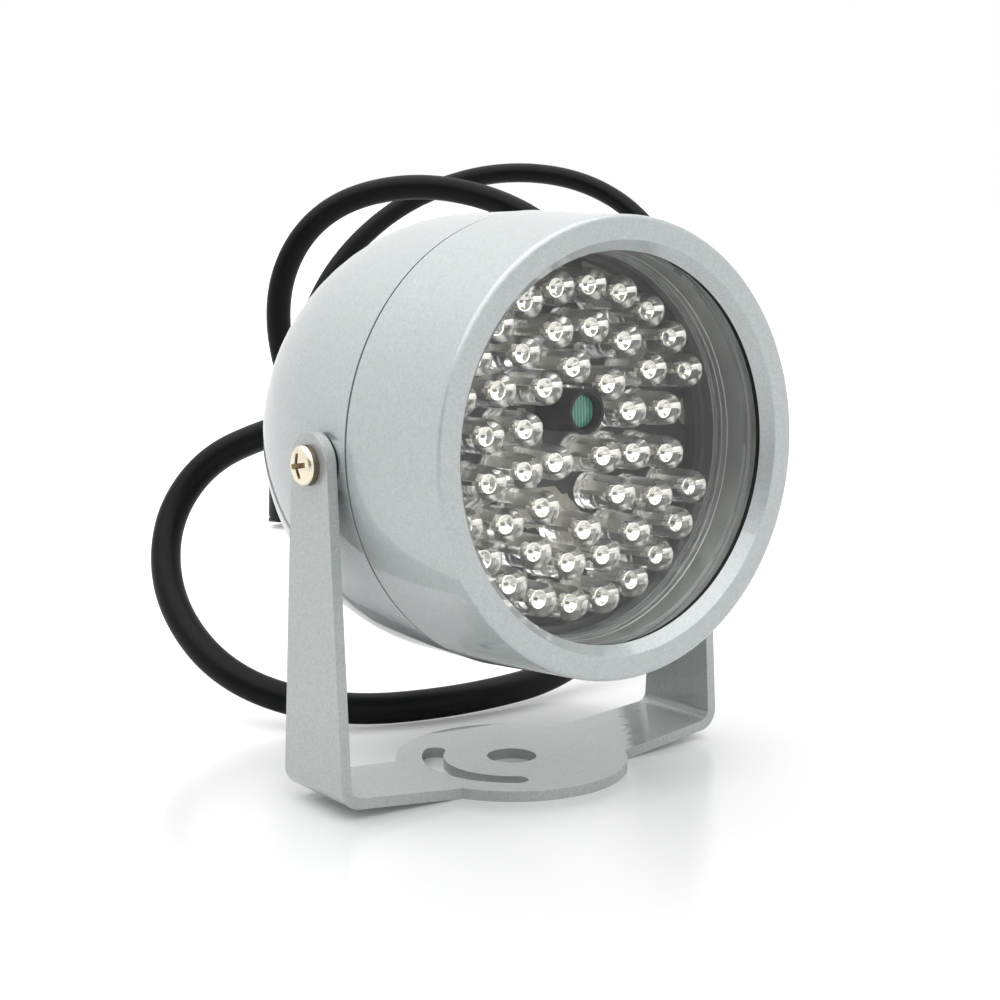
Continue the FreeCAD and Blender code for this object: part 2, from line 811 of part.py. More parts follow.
housing_parts = {
    "front_barrel": front_barrel(),
    "rear_shell": rear_shell(),
    "seam_gasket": ring(barrel_length, seam_gasket_thickness, shell_bore_r,
                        shell_r - seam_gasket_inset),
    "window_gasket": ring(0, window_gasket_thickness, seated_r - window_gasket_width, seated_r),
    "front_window": rod(0, 0, window_depth, window_thickness, seated_r),
    "spacer_sleeve": ring(spacer_depth, spacer_length, seated_r - spacer_wall, seated_r),
    "retaining_ring": retaining_ring(),
    "board_seat_ring": board_seat_ring(),
    "board_clamp_ring": board_clamp_ring(),
    "light_board": light_board(),
    "outer_leds": led_group(outer_places),
    "middle_leds": led_group(middle_places),
    "inner_leds": led_group(inner_places),
    "centre_leds": led_group(centre_places),
    "sensor_tube": sensor_tube(),
    "photocell": photocell(),
    "board_standoffs": board_standoffs(),
    "driver_board": driver_board(),
    "board_screws": board_screws(),
    "driver_capacitor": driver_capacitor(),
    "driver_transistor": driver_transistor(),
    "string_resistors": string_resistors(),
    "pivot_screw_right": pivot_screw(1),
    "pivot_screw_left": pivot_screw(-1),
    "pivot_washer_right": pivot_washer(1),
    "pivot_washer_left": pivot_washer(-1),
    "cord_gland": cord_gland(),
    "gland_nut": gland_nut(),
    "cord_entry": cord_entry(),
    "positive_lead": inner_lead(1, lead_ends[0]),
    "negative_lead": inner_lead(-1, lead_ends[1]),
}

parts = {name: in_place(shape) for name, shape in housing_parts.items()}
parts["bracket"] = bracket()
parts["power_cord"] = power_cord()
parts["socket_shell"] = socket_shell()
parts["socket_core"] = socket_core()
parts["socket_sleeve"] = socket_sleeve()
parts["socket_pin"] = socket_pin()

os.makedirs("parts", exist_ok=True)
for name, shape in parts.items():
    shape.exportStep("parts/" + name + ".step")
    print(name, len(shape.Solids), "solids", round(shape.Volume, 1), "mm3", shape.isValid())
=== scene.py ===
import math
import random

import bpy
from mathutils import Matrix, Quaternion, Vector


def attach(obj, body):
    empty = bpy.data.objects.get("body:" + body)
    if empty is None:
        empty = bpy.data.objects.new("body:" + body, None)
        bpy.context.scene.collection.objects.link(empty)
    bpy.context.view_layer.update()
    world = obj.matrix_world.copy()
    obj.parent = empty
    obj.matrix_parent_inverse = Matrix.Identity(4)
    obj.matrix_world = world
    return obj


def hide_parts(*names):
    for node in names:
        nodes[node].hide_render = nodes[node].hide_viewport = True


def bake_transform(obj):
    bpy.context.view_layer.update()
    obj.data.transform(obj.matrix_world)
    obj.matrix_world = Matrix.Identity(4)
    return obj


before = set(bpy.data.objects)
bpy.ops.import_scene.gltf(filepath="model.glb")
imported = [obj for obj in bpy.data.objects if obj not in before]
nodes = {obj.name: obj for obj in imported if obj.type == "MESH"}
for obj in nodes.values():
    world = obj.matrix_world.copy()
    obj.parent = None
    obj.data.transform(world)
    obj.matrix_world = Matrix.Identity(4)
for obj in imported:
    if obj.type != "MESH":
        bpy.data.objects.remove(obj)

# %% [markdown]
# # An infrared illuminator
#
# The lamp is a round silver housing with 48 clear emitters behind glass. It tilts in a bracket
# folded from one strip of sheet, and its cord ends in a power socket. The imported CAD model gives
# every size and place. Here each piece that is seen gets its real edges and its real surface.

MM = 0.001
FULL_TURN = 2 * math.pi
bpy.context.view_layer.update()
random.seed(48)

# %% [markdown]
# ## The camera
#
# A camera's place can be guessed and nudged, or solved from things whose shape is known. Here it
# was solved from the circles and straight edges of the real object, because then every piece that
# is modelled to size also falls in the right place in the picture.

# %% Camera
def put_in_scene(name, data):
    """New object that shows some data, such as a mesh, a lamp or a camera."""
    made = bpy.data.objects.new(name, data)
    bpy.context.scene.collection.objects.link(made)
    return made


camera_place = Vector((-171.34, -218.22, 85.49)) * MM
camera_target = Vector((-10.11, -10.00, 42.84)) * MM
# The camera leaned to one side by a sixth of a degree
CAMERA_ROLL = 0.00285
camera_data = bpy.data.cameras.new("camera")
camera_data.sensor_width = 36
camera_data.lens = 68.64
camera_data.clip_start = 0.01
camera = put_in_scene("camera", camera_data)
camera.location = camera_place
camera.rotation_mode = "QUATERNION"
straight = (camera_target - camera_place).to_track_quat("-Z", "Y")
camera.rotation_quaternion = straight @ Quaternion((0, 0, 1), CAMERA_ROLL)
bpy.context.scene.camera = camera
bpy.context.scene.view_settings.view_transform = "Standard"
print("camera stands", round((camera_target - camera_place).length, 3), "m away")

# %% [markdown]
# ## Colours and nodes
#
# Screens store colours on a curve, and a renderer works with plain light, so every colour is
# written as the hex value that the eye knows and turned to linear light once, in one place. A
# second helper adds any node with its settings and links, so that each finish reads as a list.

# %% Helpers for materials
def colour(hex_code):
    """Linear colour of an sRGB hex value."""
    channels = [int(hex_code[i:i + 2], 16) / 255 for i in (1, 3, 5)]
    linear = [c / 12.92 if c <= 0.04045 else ((c + 0.055) / 1.055) ** 2.4 for c in channels]
    return (*linear, 1.0)


def add(tree, kind, inputs=None, **settings):
    """Add a node. Each input gets a plain value, or a link where the value is a socket."""
    node = tree.nodes.new(kind)
    for name, value in settings.items():
        setattr(node, name, value)
    for name, value in (inputs or {}).items():
        if isinstance(value, bpy.types.NodeSocket):
            tree.links.new(value, node.inputs[name])
        else:
            node.inputs[name].default_value = value
    return node


def finish_named(name, **values):
    """New material with one principled shader. Returns the material, its tree and the shader."""
    material = bpy.data.materials.new(name)
    material.use_nodes = True
    tree = material.node_tree
    tree.nodes.clear()
    shader = add(tree, "ShaderNodeBsdfPrincipled")
    for socket, value in values.items():
        shader.inputs[socket.replace("_", " ")].default_value = value
    add(tree, "ShaderNodeOutputMaterial", {"Surface": shader.outputs[0]})
    return material, tree, shader


def feed(tree, shader, **sources):
    """Link node outputs to the shader's sockets of these names."""
    for socket, source in sources.items():
        tree.links.new(source, shader.inputs[socket.replace("_", " ")])


print("linear light of a mid grey:", round(colour("#808080")[0], 3))

# %% [markdown]
# ## The cord's line
#
# The cord is one fixed length of soft cable that leaves the gland, sinks to the floor and rises in
# two loose loops before it enters the socket. A NURBS line takes a few given points and bends
# evenly between them, as a real cable does, where a chain of arcs would look like wire.

# %% Cord line
cord_route = [
    (0.0, 0.0425, 0.0482), (0.0, 0.0490, 0.0480),
    (-0.0050, 0.0602, 0.0452), (-0.0130, 0.0694, 0.0396), (-0.0206, 0.0701, 0.0291),
    (-0.0247, 0.0613, 0.0170), (-0.0223, 0.0467, 0.0071), (-0.0110, 0.0328, 0.0028),
    (0.0092, 0.0258, 0.0027), (0.0358, 0.0276, 0.0035), (0.0615, 0.0372, 0.0153),
    (0.0799, 0.0531, 0.0371), (0.0868, 0.0732, 0.0619), (0.0809, 0.0949, 0.0811),
    (0.0651, 0.1147, 0.0879), (0.0480, 0.1287, 0.0819), (0.0398, 0.1346, 0.0636),
    (0.0452, 0.1342, 0.0384), (0.0633, 0.1307, 0.0153), (0.0904, 0.1271, 0.0028),
    (0.1206, 0.1259, 0.0062), (0.1473, 0.1290, 0.0234), (0.1651, 0.1376, 0.0479),
    (0.1703, 0.1518, 0.0719), (0.1621, 0.1698, 0.0878), (0.1438, 0.1879, 0.0916),
    (0.1225, 0.2015, 0.0839), (0.1041, 0.2084, 0.0673), (0.0926, 0.2082, 0.0469),
    (0.0876, 0.2052, 0.0362), (0.0862, 0.2033, 0.0265),
]
CORD_DIAMETER = 0.0052

line = bpy.data.curves.new("cord_line", "CURVE")
line.dimensions = "3D"
spline = line.splines.new("NURBS")
spline.points.add(len(cord_route) - 1)
for point, place in zip(spline.points, cord_route):
    point.co = (*place, 1)
spline.order_u = 3
spline.use_endpoint_u = True
spline.resolution_u = 16
cord = put_in_scene("power_lead", line)
path_mesh = bpy.data.meshes.new_from_object(cord)

# %% [markdown]
# The jacket is pressed round two cores, so its section is a circle that is a little flat on two
# sides. That section is drawn as a small closed curve and carried along the line by the curve's
# own bevel, which keeps it square to the line everywhere. Then it becomes a mesh.

# %% Cord jacket
def deselect():
    """Nothing selected, because an operator acts on all that is selected."""
    bpy.ops.object.select_all(action="DESELECT")


def choose(piece):
    """Select one piece and make it active."""
    deselect()
    piece.select_set(True)
    bpy.context.view_layer.objects.active = piece


def weld():
    """In edit mode, merge the points that meet and turn all faces outwards."""
    bpy.ops.mesh.select_all(action="SELECT")
    bpy.ops.mesh.remove_doubles(threshold=WELD)
    bpy.ops.mesh.normals_make_consistent(inside=False)


WELD = 0.002 * MM
SECTION_SIDES, JACKET_FLATNESS = 20, 0.035
section_line = bpy.data.curves.new("cord_section", "CURVE")
section = section_line.splines.new("POLY")
section.points.add(SECTION_SIDES - 1)
for k, point in enumerate(section.points):
    turn = FULL_TURN * k / SECTION_SIDES
    radius = CORD_DIAMETER / 2 * (1 - JACKET_FLATNESS * math.sin(turn) ** 2)
    point.co = (radius * math.cos(turn), radius * math.sin(turn), 0, 1)
section.use_cyclic_u = True
section_shape = put_in_scene("cord_section", section_line)
line.bevel_mode = "OBJECT"
line.bevel_object = section_shape
line.use_fill_caps = True
choose(cord)
bpy.ops.object.convert(target="MESH")
bpy.data.objects.remove(section_shape)
bpy.ops.object.mode_set(mode="EDIT")
weld()
bpy.ops.object.mode_set(mode="OBJECT")
bpy.ops.object.shade_smooth_by_angle(angle=math.radians(40))
print("cord jacket:", len(cord.data.polygons), "faces")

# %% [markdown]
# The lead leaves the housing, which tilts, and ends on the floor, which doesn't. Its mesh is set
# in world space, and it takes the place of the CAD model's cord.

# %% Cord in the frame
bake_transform(cord)
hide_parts("power_cord")

# %% [markdown]
# ## The studio
#
# The object stands on a pale floor in a white tent, with one wide soft lamp overhead. A sun lamp
# gives the same light all over the floor, where a near lamp would leave a bright pool. Matt
# surfaces get only part of the tent's light, so the background can be clean white without more
# light on the object. Left of the camera the tent is open and dark, and that side draws the dark
# line along the round of the rim. Light caught in clear epoxy bounces about in it more often than
# is traced here, so rays that have gone through it see the tent brighter.

# %% World
LIGHT_OF_ROOM, ROOM_IN_EPOXY, LIGHT_OF_OPENING = 0.6, 2.7, 0.1
# The opening fades in between two angles from its middle, written as cosines
OPENING_WAY, TENT_ENDS, OPENING_STARTS = (-0.88, -0.47, 0.05), 0.8, 0.93
world = bpy.data.worlds.new("studio_room")
bpy.context.scene.world = world
world.use_nodes = True
tree = world.node_tree
tree.nodes.clear()
rays = add(tree, "ShaderNodeLightPath")
way = add(tree, "ShaderNodeTexCoord").outputs["Generated"]
towards = add(tree, "ShaderNodeVectorMath", {0: way, 1: OPENING_WAY}, operation="DOT_PRODUCT")
opening = add(tree, "ShaderNodeMapRange", {"Value": towards.outputs["Value"],
              "From Min": TENT_ENDS, "From Max": OPENING_STARTS,
              "To Min": 1.0, "To Max": LIGHT_OF_OPENING})
light = add(tree, "ShaderNodeMapRange", {"Value": rays.outputs["Is Glossy Ray"],
            "To Min": LIGHT_OF_ROOM, "To Max": 1.0})
light = add(tree, "ShaderNodeMath", {0: light.outputs[0], 1: opening.outputs[0]},
            operation="MULTIPLY")
inside = add(tree, "ShaderNodeMath", {0: rays.outputs["Is Transmission Ray"], 1: ROOM_IN_EPOXY},
             operation="MULTIPLY")
light = add(tree, "ShaderNodeMath", {0: inside.outputs[0], 1: light.outputs[0]},
            operation="MAXIMUM")
strength = add(tree, "ShaderNodeMath", {0: rays.outputs["Is Camera Ray"], 1: light.outputs[0]},
               operation="MAXIMUM")
room = add(tree, "ShaderNodeBackground", {"Color": colour("#FFFFFF"),
           "Strength": strength.outputs[0]})
add(tree, "ShaderNodeOutputWorld", {"Surface": room.outputs[0]})
print("room light:", LIGHT_OF_ROOM, "and in the opening:", LIGHT_OF_ROOM * LIGHT_OF_OPENING)

# %% [markdown]
# The lamp is 90 degrees wide, like a soft box close above the object. That width turns the shadow
# under the housing into a broad grey fade.

# %% Lamp
LAMP_WAY, LAMP_STRENGTH, LAMP_WIDTH = (-0.12, -0.03, 1.0), 2.15, math.radians(90)
lamp_data = bpy.data.lights.new("overhead_lamp", "SUN")
lamp_data.energy = LAMP_STRENGTH
lamp_data.angle = LAMP_WIDTH
top_lamp = put_in_scene("overhead_lamp", lamp_data)
top_lamp.rotation_mode = "QUATERNION"
top_lamp.rotation_quaternion = Vector(LAMP_WAY).to_track_quat("Z", "Y")
print("lamp:", top_lamp.name, LAMP_STRENGTH)

# %% [markdown]
# The floor is a disc much wider than the view. Its paint is lit as any surface is, which keeps the
# object's soft shadow. A little glow for the camera lifts the lit part to clean white, and it
# grows behind the object and away from it, where a studio has the lamps that light the background.

# %% Floor
def send_out(tree, surface):
    """Lead a surface to the material's output."""
    tree.links.new(surface, tree.get_output_node("ALL").inputs["Surface"])


FLOOR_RADIUS, GLOW_NEAR, GLOW_FAR = 12, 0.07, 0.36
# The glow grows between two distances behind the mounting hole, and round a point before it
BEHIND, ROUND, POINT = (8 * MM, 50 * MM), (130 * MM, 330 * MM), (0, -40 * MM, 0)
deselect()
bpy.ops.mesh.primitive_circle_add(vertices=96, radius=FLOOR_RADIUS, fill_type="NGON",
                                  location=(0, 0, 0))
floor = bpy.context.active_object
floor.name = "studio_floor"
floor_paint, tree, shader = finish_named("satin_white_floor", Base_Color=colour("#F2F2F2"),
                                         Roughness=0.2)
rays = add(tree, "ShaderNodeLightPath")
place = add(tree, "ShaderNodeTexCoord").outputs["Object"]
behind = add(tree, "ShaderNodeVectorMath", {0: place, 1: (0, 1, 0)}, operation="DOT_PRODUCT")
behind = add(tree, "ShaderNodeMapRange", {"Value": behind.outputs["Value"],
             "From Min": BEHIND[0], "From Max": BEHIND[1]}, interpolation_type="SMOOTHSTEP")
far = add(tree, "ShaderNodeVectorMath", {0: place, 1: POINT}, operation="DISTANCE")
far = add(tree, "ShaderNodeMapRange", {"Value": far.outputs["Value"],
          "From Min": ROUND[0], "From Max": ROUND[1]}, interpolation_type="SMOOTHSTEP")
lamps = add(tree, "ShaderNodeMath", {0: behind.outputs[0], 1: far.outputs[0]}, operation="MAXIMUM")
lamps = add(tree, "ShaderNodeMapRange", {"Value": lamps.outputs[0],
            "To Min": GLOW_NEAR, "To Max": GLOW_FAR})
glow = add(tree, "ShaderNodeMath", {0: rays.outputs["Is Camera Ray"], 1: lamps.outputs[0]},
           operation="MULTIPLY")
glow = add(tree, "ShaderNodeEmission", {"Color": colour("#FFFFFF"), "Strength": glow.outputs[0]})
lit = add(tree, "ShaderNodeAddShader", {0: shader.outputs[0], 1: glow.outputs[0]})
send_out(tree, lit.outputs[0])
floor.data.materials.append(floor_paint)
print("floor is", round(floor.dimensions.x), "m across")

# %% [markdown]
# ## Finishes of the metal
#
# The housing and the bracket wear a sprayed silver paint on alloy and steel. Up close it is fine
# metal flakes under a clear gloss skin that is slightly wavy, the orange peel. Real flakes are
# too fine to show, so cells of about 0.2 mm stand for small heaps of them, each with its own
# brightness. Only the skin gets the wavy bump, so the metal under it stays even while the mirror
# images waver. The skin's IOR is a little above a lacquer's 1.5, as the real one mirrors more.

# %% Silver paint
FLAKE, CLOUD, PEEL, PEEL_DEPTH = 0.22 * MM, 0.9 * MM, 1.3 * MM, 0.012 * MM
# Nearly all values of a noise texture lie between these two
LOW, HIGH = 0.3, 0.7


def silver_paint(name, light, dark, roughness, metal):
    """Sprayed silver enamel: metal flake under a clear gloss skin with orange peel."""
    material, tree, shader = finish_named(name, Metallic=metal, Coat_Weight=1.0,
                                          Coat_Roughness=0.04, Coat_IOR=1.65)
    place = add(tree, "ShaderNodeTexCoord").outputs["Object"]
    flakes = add(tree, "ShaderNodeTexVoronoi", {"Vector": place, "Scale": 1 / FLAKE})
    clouds = add(tree, "ShaderNodeTexNoise", {"Vector": place, "Scale": 1 / CLOUD, "Detail": 3.0})
    sparkle = add(tree, "ShaderNodeSeparateColor", {"Color": flakes.outputs["Color"]})
    share = add(tree, "ShaderNodeMix", {0: 0.5, 2: sparkle.outputs[0], 3: clouds.outputs["Fac"]})
    tint = add(tree, "ShaderNodeMix", {0: share.outputs[0], 6: colour(dark), 7: colour(light)},
               data_type="RGBA")
    gloss = add(tree, "ShaderNodeMapRange", {"Value": clouds.outputs["Fac"], "From Min": LOW,
                "From Max": HIGH, "To Min": roughness - 0.04, "To Max": roughness + 0.05})
    peel = add(tree, "ShaderNodeTexNoise", {"Vector": place, "Scale": 1 / PEEL, "Detail": 1.0})
    bump = add(tree, "ShaderNodeBump", {"Height": peel.outputs["Fac"], "Strength": 0.5,
               "Distance": PEEL_DEPTH})
    feed(tree, shader, Base_Color=tint.outputs[2], Roughness=gloss.outputs[0],
         Coat_Normal=bump.outputs[0])
    return material


housing_paint = silver_paint("silver_enamel_on_alloy", "#CACFCF", "#AEB4B4", 0.5, 0.5)
bracket_paint = silver_paint("silver_powder_coat_on_steel", "#C3C8C7", "#A4A9A8", 0.52, 0.45)
# The cut edge of the sheet gets a copy of the paint a shade lighter, painted light that sets how
# bright these faces look
lightened_edge_paint = silver_paint("cut_edge_paint_with_painted_light", "#CBCFCE", "#A5ABAA", 0.5, 0.45)
print("paints:", housing_paint.name, bracket_paint.name, lightened_edge_paint.name)

# %% [markdown]
# The housing leans back a little, and each pattern on it leans with it. So the lamp gets a frame
# of its own, with Y along its axis and the origin in the middle of the opening's edge. Pieces are
# modelled upright and placed with that frame, and a Mapping node turns it back for the patterns.

# %% The lamp's own frame
LAMP_TILT = math.radians(2.05)
PIVOT_HEIGHT = 48.77 * MM
# The pivot line lies behind the opening's edge and under the lamp's axis
PIVOT_BEHIND, PIVOT_UNDER = 23.7 * MM, 1.03 * MM
lamp_frame = Matrix.Translation((0, 0, PIVOT_HEIGHT)) @ Matrix.Rotation(-LAMP_TILT, 4, "X")
axis_frame = lamp_frame @ Matrix.Translation((0, -PIVOT_BEHIND, PIVOT_UNDER))


def place_in(tree, piece_frame):
    """Object coordinates as they read in a piece's own frame."""
    place = add(tree, "ShaderNodeTexCoord").outputs["Object"]
    home = piece_frame.inverted()
    return add(tree, "ShaderNodeMapping", {"Vector": place, "Location": home.to_translation(),
               "Rotation": home.to_euler()}, vector_type="POINT").outputs[0]


print("the opening's middle is", round(axis_frame.to_translation().z, 4), "m over the floor")

# %% [markdown]
# Inside the bore sit turned alloy rings. A lathe leaves fine rings round the lamp's axis, so their
# pattern is a wave over the depth along that axis. Real lathe lines are about 0.1 mm apart, too
# fine to show, so here they are 2.2 mm apart and shallow. Plated and tinned metal has no lines,
# only faint clouds in its colour and gloss.

# %% Bare metals
# A wave texture of scale 1 draws about this many lines to the metre
LINES_PER_METRE = 3.14
RELIEF_DEPTH = 0.01 * MM


def plain_metal(name, light, dark, roughness, grain=0.3, turned_lines=0.0, relief=0.35):
    """Bare or plated metal with faint clouds in its colour and gloss, and lathe lines if wanted."""
    material, tree, shader = finish_named(name, Metallic=1.0)
    place = place_in(tree, axis_frame)
    clouds = add(tree, "ShaderNodeTexNoise", {"Vector": place, "Scale": 1 / (grain * MM),
                 "Detail": 4.0})
    tint = add(tree, "ShaderNodeMix", {0: clouds.outputs["Fac"], 6: colour(dark), 7: colour(light)},
               data_type="RGBA")
    gloss = add(tree, "ShaderNodeMapRange", {"Value": clouds.outputs["Fac"], "From Min": LOW,
                "From Max": HIGH, "To Min": roughness * 0.8, "To Max": roughness * 1.2})
    height = clouds.outputs["Fac"]
    if turned_lines:
        lines = add(tree, "ShaderNodeTexWave", {"Vector": place, "Distortion": 0.4,
                    "Scale": 1 / (turned_lines * MM) / LINES_PER_METRE}, bands_direction="Y")
        height = lines.outputs["Fac"]
    bump = add(tree, "ShaderNodeBump", {"Height": height, "Strength": relief,
               "Distance": RELIEF_DEPTH})
    feed(tree, shader, Base_Color=tint.outputs[2], Roughness=gloss.outputs[0],
         Normal=bump.outputs[0])
    return material


bore_alloy = plain_metal("dark_anodised_turned_alloy", "#D6D9D7", "#BEC1BF", 0.5,
                         turned_lines=2.2, relief=0.1)
# The ring under the board is anodised nearly as dark as the board's lacquer, so its steps vanish
seat_alloy = plain_metal("black_anodised_alloy", "#8E908F", "#7C7E7D", 0.55, relief=0.1)
ring_steel = plain_metal("phosphated_spring_steel", "#A9ACAA", "#858886", 0.5)
# Nickel is a warm white metal, and its fine pits keep the light of the screws soft
nickel = plain_metal("bright_nickel_plate", "#FFF6E2", "#E6DAC0", 0.28, relief=0.8)
# Old oil and dust in the cross recess of a screw
recess_grime = plain_metal("grimy_screw_recess", "#E2CEA8", "#6B5638", 0.5, grain=0.25)
# Painted shade: the side of a screw's head gets a darker nickel, because it lies in shade beside
# the arm
shaded_nickel_side = plain_metal("nickel_with_painted_shade", "#857E70", "#5F594D", 0.5, grain=0.4)
silvered = plain_metal("silver_plated_lead_frame", "#FFFFF8", "#FAF8EC", 0.3, grain=0.15,
                       relief=0.2)
# The cup is coined smooth, so the chip and the wire show again in its wall
cup_mirror = plain_metal("polished_silver_cup", "#FFFFF8", "#FCFBF0", 0.17, grain=0.15, relief=0.05)
tinned = plain_metal("tinned_leads", "#DEDDD6", "#B4B3AA", 0.35, grain=0.4, relief=1.0)
chip_face = plain_metal("infrared_chip", "#8B8880", "#5E5B55", 0.35, grain=0.1)
brass = plain_metal("tinned_brass", "#CFC09A", "#B09C6C", 0.35)
print("metals:", [m.name for m in (bore_alloy, ring_steel, nickel, silvered, tinned, brass)])

# %% [markdown]
# ## Rubber, plastic and the cord's jacket
#
# Moulded rubber and plastic are never quite even: the mould leaves a fine matt grain and the
# gloss drifts a little. A noise of about 0.1 mm carries the grain and a broad one the drift.

# %% Moulded finishes
DRIFT = 6 * MM


def moulded(name, light, dark, roughness, grain=0.12, depth=0.006, **values):
    """Moulded rubber or plastic with a fine matt grain."""
    material, tree, shader = finish_named(name, **values)
    place = add(tree, "ShaderNodeTexCoord").outputs["Object"]
    drift = add(tree, "ShaderNodeTexNoise", {"Vector": place, "Scale": 1 / DRIFT, "Detail": 3.0})
    fine = add(tree, "ShaderNodeTexNoise", {"Vector": place, "Scale": 1 / (grain * MM),
               "Detail": 2.0})
    tint = add(tree, "ShaderNodeMix", {0: drift.outputs["Fac"], 6: colour(dark), 7: colour(light)},
               data_type="RGBA")
    gloss = add(tree, "ShaderNodeMapRange", {"Value": drift.outputs["Fac"], "From Min": LOW,
                "From Max": HIGH, "To Min": roughness - 0.06, "To Max": roughness + 0.06})
    bump = add(tree, "ShaderNodeBump", {"Height": fine.outputs["Fac"], "Strength": 0.4,
               "Distance": depth * MM})
    feed(tree, shader, Base_Color=tint.outputs[2], Roughness=gloss.outputs[0],
         Normal=bump.outputs[0])
    return material


black_rubber = moulded("matt_black_rubber", "#1F2021", "#131415", 0.62)
black_plastic = moulded("moulded_black_abs", "#151617", "#0D0E0F", 0.42, Specular_IOR_Level=0.3)
jacket = moulded("extruded_black_pvc_jacket", "#0F1011", "#090A0A", 0.42, grain=0.3,
                 Specular_IOR_Level=0.15)
red_wire = moulded("red_pvc_insulation", "#B3201C", "#96130F", 0.35)
black_wire = moulded("black_pvc_insulation", "#202122", "#151617", 0.35)
lacquer = moulded("tan_resistor_lacquer", "#C9AE84", "#B3956A", 0.45)
cord.data.materials.clear()
cord.data.materials.append(jacket)
print("moulded finishes:", [m.name for m in (black_rubber, black_plastic, jacket, lacquer)])

# %% [markdown]
# ## Glass and clear epoxy
#
# The window is flat, so what is behind it shows in its true place, and only its faces mirror a
# little: a Fresnel mix of a clear and a mirror shader says just that. The emitters are solid
# epoxy domes that magnify what is in them, so they need true refraction. Both let lamp light
# through, which Light Path gives to shadow rays, because bent light would take very long to trace.

# %% Clear finishes
def let_lamps_through(tree, surface):
    """Send a surface out, and make it clear for shadow rays."""
    rays = add(tree, "ShaderNodeLightPath")
    clear = add(tree, "ShaderNodeBsdfTransparent")
    mixed = add(tree, "ShaderNodeMixShader", {0: rays.outputs["Is Shadow Ray"], 1: surface,
                2: clear.outputs[0]})
    send_out(tree, mixed.outputs[0])


window_glass, tree, shader = finish_named("clear_float_glass")
tree.nodes.remove(shader)
edge_light = add(tree, "ShaderNodeFresnel", {"IOR": 1.5})
inside = add(tree, "ShaderNodeNewGeometry").outputs["Backfacing"]
outside = add(tree, "ShaderNodeMath", {0: 1.0, 1: inside}, operation="SUBTRACT")
share = add(tree, "ShaderNodeMath", {0: edge_light.outputs[0], 1: outside.outputs[0]},
            operation="MULTIPLY")
clear = add(tree, "ShaderNodeBsdfTransparent")
mirror = add(tree, "ShaderNodeBsdfGlossy", {"Roughness": 0.02})
pane = add(tree, "ShaderNodeMixShader", {0: share.outputs[0], 1: clear.outputs[0],
           2: mirror.outputs[0]})
let_lamps_through(tree, pane.outputs[0])

# A slight milkiness of the epoxy, one part in sixteen, lifts the domes from the dark board behind
epoxy, tree, shader = finish_named("water_clear_epoxy", Base_Color=colour("#FFFFFF"),
                                   Roughness=0.02, IOR=1.54, Transmission_Weight=0.94)
let_lamps_through(tree, shader.outputs[0])
print("clear finishes:", window_glass.name, epoxy.name)

# %% [markdown]
# ## The light board's face
#
# Between the emitters shows the board: mostly dark lacquer, with a bare tinned land here and there.
# Lands and lacquer have cells of a few millimetres, and the tin is cloudy, so the board is mottled.

# %% Circuit board
LAND_SIZE, TIN_CLOUD, LACQUER_STEP = 5.2 * MM, 1.1 * MM, 0.03 * MM


def board_finish(name, lacquer_colour, land_colour, share):
    """Lacquered board with tinned lands. share is how much of it is land."""
    material, tree, shader = finish_named(name, Roughness=0.45)
    place = place_in(tree, axis_frame)
    cells = add(tree, "ShaderNodeTexVoronoi", {"Vector": place, "Scale": 1 / LAND_SIZE},
                distance="MANHATTAN")
    which = add(tree, "ShaderNodeSeparateColor", {"Color": cells.outputs["Color"]})
    land = add(tree, "ShaderNodeMath", {0: which.outputs[0], 1: share}, operation="LESS_THAN")
    clouds = add(tree, "ShaderNodeTexNoise", {"Vector": place, "Scale": 1 / TIN_CLOUD,
                 "Detail": 5.0})
    tin = add(tree, "ShaderNodeMix", {0: clouds.outputs["Fac"], 6: colour("#9A998C"),
              7: colour(land_colour)}, data_type="RGBA")
    tint = add(tree, "ShaderNodeMix", {0: land.outputs[0], 6: colour(lacquer_colour),
               7: tin.outputs[2]}, data_type="RGBA")
    metal = add(tree, "ShaderNodeMath", {0: land.outputs[0], 1: 0.5}, operation="MULTIPLY")
    height = add(tree, "ShaderNodeMix", {0: 0.5, 2: land.outputs[0], 3: clouds.outputs["Fac"]})
    bump = add(tree, "ShaderNodeBump", {"Height": height.outputs[0], "Strength": 0.6,
               "Distance": LACQUER_STEP})
    feed(tree, shader, Base_Color=tint.outputs[2], Metallic=metal.outputs[0],
         Normal=bump.outputs[0])
    return material


light_board_face = board_finish("tinned_circuit_board", "#4B4B4C", "#C6C4B8", 0.25)
driver_board_face = board_finish("green_circuit_board", "#24493A", "#A2A397", 0.25)
print("boards:", light_board_face.name, driver_board_face.name)

# %% [markdown]
# ## Turned pieces
#
# The barrel, the shell and the rings come off a lathe, so each is one outline spun round the
# lamp's axis. The outline starts as a single point that is extruded along its corners, as a profile
# is drawn by hand. A small bevel then breaks each sharp corner, because no real corner is a line,
# and that bevel is what catches the light.

# %% Helpers for turned pieces
def soften(piece, width, angle=30, segments=3):
    """Bevel the sharp edges by a width in millimetres and shade the piece smooth."""
    choose(piece)
    if width:
        bevel = piece.modifiers.new("edge", "BEVEL")
        bevel.width = width * MM
        bevel.segments = segments
        bevel.limit_method = "ANGLE"
        bevel.angle_limit = math.radians(angle)
        bpy.ops.object.modifier_apply(modifier=bevel.name)
    bpy.ops.object.shade_smooth_by_angle(angle=math.radians(35))
    if width:
        flat = piece.modifiers.new("flat_faces", "WEIGHTED_NORMAL")
        flat.keep_sharp = True
        bpy.ops.object.modifier_apply(modifier=flat.name)


